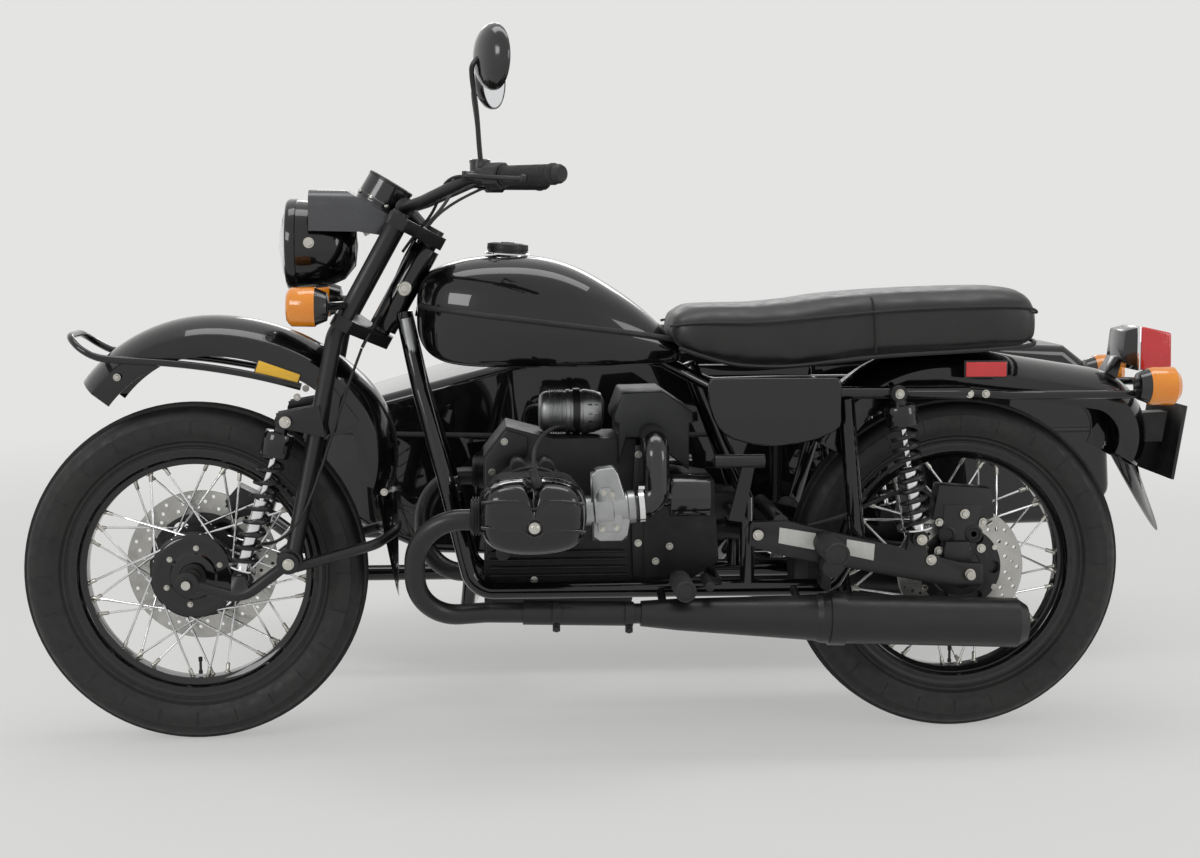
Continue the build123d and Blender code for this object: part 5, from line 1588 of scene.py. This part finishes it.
            clips.append(block(f"clip_screw_{n}", spot(x, -205, z + 35), (12, 16, 7), None, 1.2))
        fit(both(joined("hose_clips_left", clips), "hose_clips"), STAINLESS)

    def crankcase_details(self) -> None:
        """Ribs, cover faces, bolt heads and the dipstick on the engine's flanks."""
        side = -self.flank
        ribs = []
        for n in range(6):
            z = -34 + n * 15
            ribs.append(
                flat_cut(f"sump_rib_{n}", [(566, z), (566, z + 4), (836 - n * 2, z + 4), (836 - n * 2, z)],
                side, side - 9, 1.2, 1))
        bell = flat_cut("clutch_bell", [(842, -6), (838, 120), (846, 250), (864, 250), (862, 120), (864, -8)],
                        side, side - 12, 3, 2)
        front = flat_cut(
            "timing_cover", [(560, 40), (559, 226), (600, 280), (640, 268), (640, 232), (612, 214),
            (600, 60)], side, side - 8, 3, 2)
        left = joined("case_ribs_left", [*ribs, bell, front])
        fit(both(left, "crankcase_ribs"), BLACK_CASTING, "root", 35)
        heads = []
        places = ((652, -12), (844, -32), (887, 22), (914, 51), (572, 70), (572, 200), (596, 258), (852, 60),
                  (852, 150), (852, 232))
        for n, (x, z) in enumerate(places):
            deep = side - (12 if 838 < x < 866 else 8 if z > 30 and x < 620 else 0)
            heads.append(bolt(f"case_bolt_{n}", spot(x, deep, z), spot(x, 0, z), 9, 5))
        fit(both(joined("case_bolts_left", heads), "crankcase_bolts"), ZINC_PLATE)
        dip = turned(
            "dipstick_left", [(0, 0), (12, 0), (12, 4), (8, 6), (8, 14), (14, 16), (14, 22), (0, 24)],
            spot(592, -78, 40), spot(592, -98, 44), 24)
        fit(dip, SOFT_RUBBER)

    def exhaust_details(self) -> None:
        """Finned head nuts and pipe clamps on both sides."""
        pieces = []
        nut = [(21, 0), (29, 0), (31, 2)]
        for n in range(4):
            nut += [(31, 4 + n * 5), (35, 5 + n * 5), (35, 6.6 + n * 5), (31, 7.6 + n * 5)]
        nut += [(31, 24), (27, 26), (21, 26)]
        start = spot(558, -290, 148)
        left = turned("exhaust_nut_left", nut, start, spot(530, -290, 148), 40)
        fit(both(left, "exhaust_nuts"), BLACK_CASTING)
        for n, (x, z) in enumerate(((690, -50), (826, -54))):
            band = turned(
                f"exhaust_clamp_{n}", [(19.6, -8), (22.4, -8), (22.4, 8), (19.6, 8)], spot(x, -200, z),
                spot(x + 100, -200, z - 4), 32)
            lug = block(f"clamp_lug_{n}", spot(x, -200, z - 28), (14, 8, 16), None, 1.2)
            pieces += [band, lug, bolt(f"clamp_bolt_{n}", spot(x, -204, z - 30), spot(x, 0, z - 30), 9, 5)]
        fit(both(joined("exhaust_clamps_left", pieces), "exhaust_clamps"), SATIN_POWDER)


# Frame, seat and tail

@dataclass
class Chassis:
    """The motorcycle's frame, suspension, guards, seat and tail."""

    shock_low: Place = (1384.0, -158.0, 76.0)
    shock_top: Place = (1338.0, -158.0, 353.0)
    cushion_grid: float = 0.009
    cushion_pressure: float = 4.0
    cloth_frames: int = 14
    puff_limit: float = 0.007

    def build(self, machine: Frame) -> None:
        """Dress the frame's own solids, then build what sits on them.

        Args:
            machine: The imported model.
        """
        machine.dressed("bike_frame", BLACK_ENAMEL, "root", 0.5)
        machine.dressed("swingarm", SATIN_POWDER, "root", 1.0)
        machine.dressed("rear_mudguard", BLACK_ENAMEL, "root", 0.8)
        machine.dressed("rear_caliper", SATIN_POWDER, "root", 3.0, 3)
        machine.dressed("plate_bracket", SATIN_POWDER, "root", 0.8)
        machine.dressed("foot_controls", SOFT_RUBBER, "root", 1.5)
        machine.dressed("rear_rail", BLACK_ENAMEL, "root", 0)
        machine.paint(ZINC_PLATE, "rear_axle")
        damper = CoilOver("rear_damper", self.shock_low, self.shock_top, 28, 31, 9.5)
        for label, piece, finish in damper.parts():
            fit(both(piece, label), finish, "root", 45)
        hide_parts("rear_shocks")
        self.bench()
        self.tail(machine)
        self.trims()
        self.caliper()
        self.side_panels()

    def caliper(self) -> None:
        """The rear caliper's piston caps, body bolts, pad spring, bleed nipple and hose."""
        face = -97.0
        caps = [
            turned(f"piston_cap_{n}", [(15, -1), (17.5, 0), (17.5, 3.6), (15.5, 5), (12, 5), (11, 3.4),
            (0, 3.4)], spot(x, face, z), spot(x, face - 10, z), 32)
            for n, (x, z) in enumerate(((1452, 72), (1505, 72)))]
        fit(joined("caliper_piston_caps", caps), BLACK_CASTING)
        heads = [
            bolt(f"caliper_bolt_{n}", spot(x, -101, z), spot(x, 0, z), across, across * 0.55)
            for n, (x, z, across) in enumerate(((1486, 112, 12), (1436, 40, 11), (1520, 44, 11),
            (1436, 96, 10), (1522, 96, 10)))]
        fit(joined("caliper_bolts", heads), ZINC_PLATE)
        ends = [
            rod(f"caliper_pin_{n}", spot(x, -72, 103), spot(x, -72, 116), 6.5, 1.0, 20)
            for n, x in enumerate((1449, 1519))]
        fit(joined("caliper_pins", ends), BLACK_CASTING)
        turns = [
            spot(1441 + n * 0.92, -104 - 4.2 * cos(n * 1.05), 45 + 4.2 * sin(n * 1.05)) for n in range(61)]
        fit(tube("caliper_return_spring", turns, 1.1, 6), ZINC_PLATE)
        fit(rod("caliper_bleed_nipple", spot(1536, -78, 84), spot(1548, -78, 92), 4, 0.8, 14), ZINC_PLATE)
        hose = [spot(1443, -76, 110), spot(1436, -80, 132), spot(1420, -90, 150), spot(1384, -100, 162),
                spot(1330, -104, 150), spot(1250, -104, 110), spot(1180, -100, 92)]
        fit(tube("rear_brake_hose", hose, 4.2, 12), SOFT_RUBBER)

    def side_panels(self) -> None:
        """The curved panel under the seat on each side, with the two pegs that hold it."""
        outline = [
            (977, 374), (980, 381), (987, 384), (1219, 384), (1226, 381), (1229, 374), (1230, 302),
            (1227, 291), (1217, 281), (1182, 267), (1146, 258), (1101, 254), (1062, 258), (1026, 268),
            (1007, 279), (995, 292), (986, 309), (979, 332)]
        panel = flat_cut("side_panel_left", outline, -152, -166, 5, 4)
        pegs = [
            rod(f"side_panel_peg_{n}", spot(x, -154, 346), spot(x, -135, 346), 7)
            for n, x in enumerate((1010, 1200))]
        fit(both(panel, "side_panels"), BLACK_ENAMEL, "root", 50)
        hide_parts("side_covers")
        fit(both(joined("side_panel_peg", pegs), "side_panel_pegs"), SATIN_POWDER)

    def bench(self) -> None:
        """The two-step bench: an inflated cushion, its piping and its base."""
        rows = ((909, 500, 452, 92), (924, 508, 438, 106), (960, 511, 424, 116), (1010, 512, 410, 122),
                (1080, 513, 404, 126), (1150, 520, 405, 130), (1210, 529, 412, 134), (1290, 536, 424, 137),
                (1380, 541, 430, 138), (1470, 544, 433, 138), (1550, 545, 437, 137), (1596, 542, 441, 132),
                (1614, 530, 446, 124), (1620, 512, 452, 112))
        rings = []
        for x, top, low, wide in rows:
            shape = [(0.0, top - 2), (0.42, top - 2.5), (0.74, top - 6), (0.93, top - 16), (0.995, top - 32),
                     (1.0, (top + low) / 2), (0.985, low + 10), (0.955, low), (0.5, low), (0.0, low)]
            right = [(wide * a, z) for a, z in shape]
            left = [(-y, z) for y, z in reversed(right[1:-1])]
            rings.append([spot(x, y, z) for y, z in right + left])
        pad = lofted("bench_seat", rings)
        self.inflate(pad)
        apply_modifier(pad, "SUBSURF", levels=1, render_levels=1)
        fit(pad, SEAT_VINYL, "root", 70)
        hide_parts("seat")
        seam = [
            (912, -96, 478), (960, -117, 486), (1080, -128, 484), (1210, -135.5, 498), (1380, -139.5, 512),
            (1550, -138.5, 516), (1600, -131, 512), (1619, -110, 500)]
        left = [spot(*p) for p in seam]
        right = [spot(x, -y, z) for x, y, z in reversed(seam)]
        fit(tube("bench_piping", left + [spot(1623, 0, 500)] + right, 2.6, 8), SOFT_RUBBER)
        across = [
            (1300, -129, 424), (1299, -136.5, 450), (1297, -137.4, 490), (1296, -130, 518),
            (1295, -116, 529.5), (1294, -92, 534), (1294, -60, 535.4)]
        over = [spot(*p) for p in across] + [spot(1294, 0, 535.6)] + [
            spot(x, -y, z) for x, y, z in reversed(across)]
        fit(tube("bench_cross_seam", over, 1.8, 8), SOFT_RUBBER)
        base = [(928, -102, 436), (1010, -120, 407), (1080, -124, 401), (1150, -128, 402), (1290, -135, 421),
                (1470, -136, 430), (1596, -131, 438), (1617, -112, 448)]
        left = [spot(*p) for p in base]
        right = [spot(x, -y, z) for x, y, z in reversed(base)]
        fit(tube("bench_base_trim", left + right, 4.2, 8), GRAINED_ABS)

    def inflate(self, pad: Piece) -> None:
        """Swell the cushion with a cloth simulation and cap how far a point moves.

        Args:
            pad: The cushion's closed form.
        """
        apply_modifier(pad, "REMESH", mode="VOXEL", voxel_size=self.cushion_grid)
        before = [v.co.copy() for v in pad.data.vertices]
        cloth = pad.modifiers.new("Cloth", "CLOTH")
        cloth.settings.use_pressure = True
        cloth.settings.uniform_pressure_force = self.cushion_pressure
        cloth.settings.effector_weights.gravity = 0
        cloth.settings.quality = 4
        cloth.point_cache.frame_end = self.cloth_frames
        for frame in range(1, self.cloth_frames + 1):
            bpy.context.scene.frame_set(frame)
        pick(pad)
        bpy.ops.object.modifier_apply(modifier="Cloth")
        bpy.context.scene.frame_set(1)
        for vertex, old in zip(pad.data.vertices, before):
            step = vertex.co - old
            if step.length > self.puff_limit:
                vertex.co = old + step.normalized() * self.puff_limit
        edit(pad)
        bpy.ops.mesh.vertices_smooth(factor=0.5, repeat=4)
        bpy.ops.object.mode_set(mode="OBJECT")

    def tail(self, machine: Frame) -> None:
        """Tail lamp, signals, plate and their lenses.

        Args:
            machine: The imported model.
        """
        machine.dressed("rear_lamps", GLOSS_ABS, "root", 1.0)
        lens = flat_cut(
            "tail_lens", [(1842, 385), (1841, 470), (1852, 469), (1904, 457.6), (1906, 388.6), (1852, 384)],
            -47.2, 47.2, 5, 4)
        fit(lens, RED_ACRYLIC)
        rim = flat_cut(
            "tail_lens_rim", [(1836, 383.6), (1835, 469.5), (1842, 471), (1843, 384)], -48.4, 48.4, 1.6, 2)
        fit(rim, CHROME)
        signal = turned(
            "rear_lens_left", [(0, 83), (26.4, 83), (36.9, 72.6), (36.2, 31), (33.6, 24), (30, 24), (30, 60),
            (0, 60)], spot(1793, -158, 364), spot(1893, -158, 364), 48)
        fit(both(signal, "rear_signal_lenses"), AMBER_ACRYLIC)
        slope = atan2(22, 144)
        sheet = block(
            "blank_plate", spot(1910.4, 0, 247.6), (1.8, 192, 138), Matrix.Rotation(slope, 3, "Y"), 0.6, 1)
        fit(sheet, WHITE_ENAMEL)

    def trims(self) -> None:
        """Side reflectors, tube sleeves and the ribbed rubbers of the pegs."""
        reflector = block("side_reflector_left", spot(1510, -141.8, 396), (78, 5, 28), None, 1.6, 3)
        holder = block("reflector_back", spot(1510, -138.6, 396), (84, 3, 34), None, 1.2, 2)
        fit(both(reflector, "side_reflectors"), RED_ACRYLIC)
        fit(both(holder, "reflector_backs"), SATIN_POWDER)
        self.tube_sleeves()
        rubbers = []
        for n, (x, z, y, r) in enumerate(((924, 2, -281, 20), (1203, 68, -286, 23))):
            ribs = [(r - 5, 0), (r - 2, 0), (r, 2)]
            for k in range(9):
                ribs += [(r, 6 + k * 11), (r - 2.6, 7.4 + k * 11), (r - 2.6, 10.6 + k * 11), (r, 12 + k * 11)]
            ribs += [(r, 108), (r - 5, 108)]
            rubbers.append(turned(f"peg_rubber_{n}", ribs, spot(x, y, z), spot(x, 0, z), 24))
        fit(both(joined("peg_rubbers_left", rubbers), "peg_rubbers"), SOFT_RUBBER, "root", 30)

    def tube_sleeves(self) -> None:
        """Bright sleeves on the down tubes, blank bands on the arms, and the frame's bolt heads."""
        sleeves = [rod("down_tube_sleeve", spot(408, -20, 489), spot(432, -42, 372), 15.4, 1.2, 28),
                   rod("down_tube_band", spot(490, -61, 168), spot(498, -61, 138), 15.2, 0.8, 28)]
        fit(both(joined("down_tube_sleeve", sleeves), "down_tube_sleeves"), BLASTED_ALUMINIUM)
        bands = [
            flat_cut("arm_band_fore", [(1116, 66), (1118, 96), (1188, 84), (1186, 52)], -141.05, -142.2, 0.3,
            1), flat_cut("arm_band_rear", [(1246, 42), (1248, 72), (1302, 62), (1300, 30)], -141.05, -142.2,
            0.3, 1)]
        fit(both(joined("arm_bands_left", bands), "arm_bands"), WHITE_ENAMEL)
        rows = (("rail_bolts", 10, ((1478, -147, 350), (1509, -147, 350), (1336, -180, 353))),
                ("arm_bolts", 13, ((1076, -148, 83), (1488, -142, 2), (1384, -180, 76), (1412, -142, 30))))
        for name, across, places in rows:
            heads = [bolt(f"{name}_{n}", spot(x, y, z), spot(x, 0, z), across, across * 0.6)
                     for n, (x, y, z) in enumerate(places)]
            fit(both(joined(name + "_left", heads), name), ZINC_PLATE)


# Sidecar

@dataclass
class Sidecar:
    """The tub with its seat, trims and lamps, and the solids that carry it."""

    inner: float = 440.0
    outer: float = 1040.0
    track: float = 1150.0
    seat_grid: float = 0.008
    pleat: float = 84.0
    pleat_depth: float = 5.5
    crown: float = 4.0
    edge_round: float = 0.022
    deck_top: float = 0.755

    @property
    def middle(self) -> float:
        """The tub's own middle."""
        return (self.inner + self.outer) / 2

    def build(self, machine: Frame) -> None:
        """Dress the sidecar.

        Args:
            machine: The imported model.
        """
        self.round_tub(machine.dressed("sidecar_body", BLACK_ENAMEL, "root", 0, 1, 45))
        machine.dressed("trunk_lid", BLACK_ENAMEL, "trunk_lid_body", 2.0, 3, 45)
        machine.dressed("sidecar_chassis", BLACK_ENAMEL, "root", 0.4)
        machine.dressed("sidecar_arm", SATIN_POWDER, "root", 1.2)
        machine.dressed("sidecar_mudguard", BLACK_ENAMEL, "root", 0.8)
        self.seat()
        self.trims()
        self.lamps()
        damper = CoilOver("sidecar_damper", (1396, 1069, 14), (1346, 1069, 280), 20, 22.5, 9.5)
        for _, piece, finish in damper.parts():
            fit(piece, finish)

    def round_tub(self, tub: Piece) -> None:
        """Round the tub's outer edges and leave the edges of its openings crisp.

        Args:
            tub: The tub's merged copy.
        """
        pick(tub)
        bpy.ops.object.duplicate()
        hull = bpy.context.active_object
        edit(hull)
        bpy.ops.mesh.convex_hull()
        bpy.ops.mesh.dissolve_limited(angle_limit=radians(1))
        bpy.ops.object.mode_set(mode="OBJECT")
        # corners match within half a millimetre
        steps = 2000
        corners = {tuple(round(c * steps) for c in vertex.co) for vertex in hull.data.vertices}
        bpy.data.objects.remove(hull)
        edit(tub)
        bpy.ops.mesh.select_all(action="DESELECT")
        bpy.ops.mesh.select_mode(type="EDGE")
        bpy.ops.mesh.edges_select_sharp(sharpness=radians(8))
        bpy.ops.object.mode_set(mode="OBJECT")
        outer = [vertex.co.z < self.deck_top and tuple(round(c * steps) for c in vertex.co) in corners
                 for vertex in tub.data.vertices]
        chosen = 0
        for edge in tub.data.edges:
            edge.select = edge.select and all(outer[v] for v in edge.vertices)
            chosen += edge.select
        for face in tub.data.polygons:
            face.select = False
        LOG.info("tub edges rounded: %d", chosen)
        bpy.ops.object.mode_set(mode="EDIT")
        bpy.ops.mesh.bevel(offset=self.edge_round, segments=6, affect="EDGES", clamp_overlap=True)
        bpy.ops.object.mode_set(mode="OBJECT")
        bpy.ops.object.shade_smooth_by_angle(angle=radians(24))

    def lamps(self) -> None:
        """Lamps on the guard, round reflectors on the tail and the strips at the waist."""
        y = self.track
        rows = (("marker", 1232, 352, -1, AMBER_ACRYLIC), ("tail", 1604, 334, 1, RED_ACRYLIC))
        for label, x, z, way, finish in rows:
            start, ahead = spot(x, y, z), spot(x + 100 * way, y, z)
            pod = turned(
                f"guard_{label}_pod", [(0, -22), (14, -20), (25, -8), (28, 6), (28, 12), (24, 12), (24, 8),
                (0, 8)], start, ahead, 36)
            lens = turned(
                f"guard_{label}_lens", [(0, 8), (24.6, 10), (24.6, 24), (20, 30), (10, 33), (0, 33.6)], start,
                ahead, 36)
            foot = rod(f"guard_{label}_foot", spot(x, y, z - 40), spot(x, y, z - 20), 9, 1.0)
            fit(pod, GLOSS_ABS)
            fit(lens, finish)
            fit(foot, GLOSS_ABS)
        mid = self.middle
        for n, shift in enumerate((-190, 190)):
            start, ahead = spot(1969, mid + shift, 190), spot(2068, mid + shift, 197)
            fit(
                turned(f"tail_reflector_back_{n}", [(0, 0), (28, 0), (28, 4), (25, 7), (0, 7)], start, ahead,
                40), SATIN_POWDER)
            fit(
                turned(f"tail_reflector_{n}", [(0, 6), (24, 6), (23, 10), (0, 11)], start, ahead, 40),
                RED_ACRYLIC)
        waist = [(150, 145), (300, 234), (640, 300), (1500, 300), (1930, 255)]
        for n, side in enumerate((LEFT, RIGHT)):
            strip = tube(
                f"waist_strip_{n}", [spot(x, mid + side * (reach + 1.5), 206) for x, reach in waist], 5.5, 12,
                order=2)
            fit(strip, SOFT_RUBBER)

    def seat(self) -> None:
        """Cushion and backrest with sewn pleats."""
        mid = self.middle
        forms = (("cushion", (1080, mid, 40), (392, 506, 100), 0),
                 ("backrest", (1237, mid, 246), (74, 506, 288), 8))
        for label, centre, size, lean in forms:
            pad = block(f"sidecar_{label}", Vector((0, 0, 0)), size, None, 18, 3)
            edit(pad)
            bpy.ops.mesh.subdivide(number_cuts=4)
            bpy.ops.object.mode_set(mode="OBJECT")
            apply_modifier(pad, "REMESH", mode="VOXEL", voxel_size=self.seat_grid)
            for vertex in pad.data.vertices:
                place = vertex.co
                pleat = abs(sin(place.y * 1000 * pi / self.pleat))
                dome = cos(min(1.0, abs(place.y) * 2000 / size[1]) * pi / 2)
                rise = (self.pleat_depth * pleat ** 0.5 - self.pleat_depth + self.crown * dome) / 1000
                if label == "cushion" and place.z > 0.03:
                    place.z += rise
                if label == "backrest" and place.x < -0.02:
                    place.x -= rise
            turn = Matrix.Rotation(radians(lean), 4, "Y")
            pad.data.transform(Matrix.Translation(spot(*centre)) @ turn)
            fit(pad, SEAT_VINYL, "root", 70)
        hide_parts("sidecar_seat")
        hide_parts("sidecar_seat")
        base = block("sidecar_seat_base", spot(1080, mid, -30), (360, 470, 40), None, 3)
        fit(base, SATIN_POWDER)

    def trims(self) -> None:
        """The roll round the cockpit's edge and the grab bar with its feet."""
        mid = self.middle
        half = 255.0
        right = [(764, half - 60), (790, half - 8), (830, half), (1210, half), (1250, half - 8),
                 (1267, half - 50)]
        left = [(x, -y) for x, y in reversed(right)]
        edge = []
        for x, y in [left[-1], *right, *left[:-1]]:
            top = 392 + (x - 700) * 28 / 590
            edge.append(spot(x, mid + y, top + 2))
        fit(tube("cockpit_roll", edge, 8, 12, closed=True), SEAT_VINYL)
        bar = tube(
            "cockpit_grab_bar", [spot(748, mid - 190, 388), spot(742, mid - 190, 430),
            spot(744, mid - 150, 452), spot(744, mid, 456), spot(744, mid + 150, 452),
            spot(742, mid + 190, 430), spot(748, mid + 190, 388)], 9, 14)
        fit(bar, BLACK_ENAMEL)
        for n, y in enumerate((-190, 190)):
            fit(
                turned(f"grab_bar_foot_{n}", [(0, -6), (20, -6), (20, 2), (14, 5), (0, 5)],
                spot(748, mid + y, 393), spot(748 - 4, mid + y, 493), 28), BLACK_ENAMEL)


# Studio

@dataclass
class Studio:
    """Pale floor, soft lights and the photograph's camera."""

    backdrop: str = "#e4e4e3"
    floor_radius: float = 60.0
    shown: float = 1.0
    fill: float = 0.62
    fade_from: float = 1.4
    fade_to: float = 5.5
    least_share: float = 0.52
    camera_at: Place = (-0.2667, -3.9945, 1.0167)
    camera_tilt: float = 83.39
    camera_turn: float = -3.61
    camera_lens: float = 55.35

    def build(self) -> None:
        """Set the whole studio up."""
        self.floor()
        self.sky()
        self.lights()
        self.camera()
        bpy.context.scene.view_settings.view_transform = "Standard"

    def floor(self) -> None:
        """A wide pale floor that melts into the backdrop's tone before it reaches the horizon."""
        deselect()
        bpy.ops.mesh.primitive_circle_add(
            vertices=96, radius=self.floor_radius, fill_type="NGON", location=(0, 0, 0))
        piece = added("studio_floor")
        edit(piece)
        bpy.ops.mesh.normals_make_consistent(inside=False)
        bpy.ops.object.mode_set(mode="OBJECT")
        made = STUDIO_FLOOR.material()
        tree = made.node_tree
        where = add_node(tree, "ShaderNodeTexCoord", {}, {}).outputs["Object"]
        reach = add_node(tree, "ShaderNodeVectorMath", {"operation": "LENGTH"}, {0: where})
        fade = add_node(
            tree, "ShaderNodeMapRange", {"interpolation_type": "SMOOTHSTEP", 1: self.fade_from,
            2: self.fade_to, 3: self.least_share}, {0: reach.outputs["Value"]})
        seen = self.seen(tree)
        share = add_node(tree, "ShaderNodeMath", {"operation": "MULTIPLY"}, {0: fade.outputs[0], 1: seen})
        glow = add_node(
            tree, "ShaderNodeEmission", {"Color": toned(self.backdrop), "Strength": self.shown}, {})
        mix = add_node(
            tree, "ShaderNodeMixShader", {}, {0: share.outputs[0],
            1: tree.nodes["Principled BSDF"].outputs[0], 2: glow.outputs[0]})
        tree.links.new(mix.outputs[0], tree.nodes["Material Output"].inputs[0])
        piece.data.materials.append(made)

    def seen(self, tree: bpy.types.NodeTree) -> Socket:
        """One where a camera, gloss or glass ray looks, nought for the rays that light the object.

        Args:
            tree: The material's or the world's node tree.

        Returns:
            The share as a socket.
        """
        ray = add_node(tree, "ShaderNodeLightPath", {}, {})
        first = add_node(tree, "ShaderNodeMath", {"operation": "MAXIMUM"},
                         {0: ray.outputs["Is Camera Ray"], 1: ray.outputs["Is Glossy Ray"]})
        return add_node(tree, "ShaderNodeMath", {"operation": "MAXIMUM"},
                        {0: first.outputs[0], 1: ray.outputs["Is Transmission Ray"]}).outputs[0]

    def sky(self) -> None:
        """A pale world that fills the shadows, and shows as the backdrop."""
        world = bpy.data.worlds.new("pale_world")
        bpy.context.scene.world = world
        world.use_nodes = True
        tree = world.node_tree
        shade = tree.nodes["Background"]
        shade.inputs["Color"].default_value = toned(self.backdrop)
        level = add_node(tree, "ShaderNodeMapRange", {3: self.fill, 4: self.shown}, {0: self.seen(tree)})
        tree.links.new(level.outputs[0], shade.inputs["Strength"])

    def lights(self) -> None:
        """Soft boxes: overhead, at the camera's left and right, and behind."""
        # name, place and aim in metres, width, depth and power in watts
        boxes = (
            ("overhead_box", (0.0, -0.3, 3.4), (0.0, -0.1, 0.4), 3.4, 1.0, 34),
            ("key_box", (-3.0, -3.2, 2.3), (-0.2, -0.3, 0.5), 1.6, 1.2, 34),
            ("fill_box", (3.4, -2.6, 1.7), (0.3, -0.3, 0.5), 1.2, 1.6, 22),
            ("back_box", (0.4, 4.0, 2.6), (0.0, 0.0, 0.6), 3.0, 1.0, 26))
        for name, place, aim, wide, tall, power in boxes:
            deselect()
            bpy.ops.object.light_add(type="AREA", location=place)
            lamp = added(name)
            lamp.data.shape = "RECTANGLE"
            lamp.data.size = wide
            lamp.data.size_y = tall
            lamp.data.energy = power
            lamp.rotation_euler = (Vector(aim) - Vector(place)).to_track_quat("-Z", "Y").to_euler()

    def camera(self) -> None:
        """The photograph's viewpoint and lens, for an image of 1200 by 858."""
        deselect()
        turn = (radians(self.camera_tilt), 0, radians(self.camera_turn))
        bpy.ops.object.camera_add(location=self.camera_at, rotation=turn)
        camera = added("photo_camera")
        camera.data.lens = self.camera_lens
        camera.data.sensor_width = 36
        bpy.context.scene.camera = camera


def main() -> None:
    """Build the outfit piece by piece."""
    logging.basicConfig(level=logging.INFO, format="%(message)s")
    machine = Frame()
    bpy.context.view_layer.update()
    Studio().build()
    LOG.info("wheels")
    WireWheel("front", (0, 0, 0), "front_wheel_body").build(machine)
    WireWheel("rear", (1488, 0, 0), "rear_wheel_body", cover_side=RIGHT).build(machine)
    WireWheel("sidecar", (1388, 1150, 0), "sidecar_wheel_body", cover_side=RIGHT).build(machine)
    BrakeDisc("front_disc", (0, 0, 0), "front_wheel_body", 148, RIGHT).build()
    BrakeDisc("rear_disc", (1488, 0, 0), "rear_wheel_body", 125, LEFT).build()
    LOG.info("tank, fork and controls")
    FuelTank().build()
    FrontEnd().build(machine)
    LOG.info("engine")
    FlatTwin().build(machine)
    LOG.info("frame, seat and tail")
    Chassis().build(machine)
    LOG.info("sidecar")
    Sidecar().build(machine)


if __name__ == "__main__":
    main()
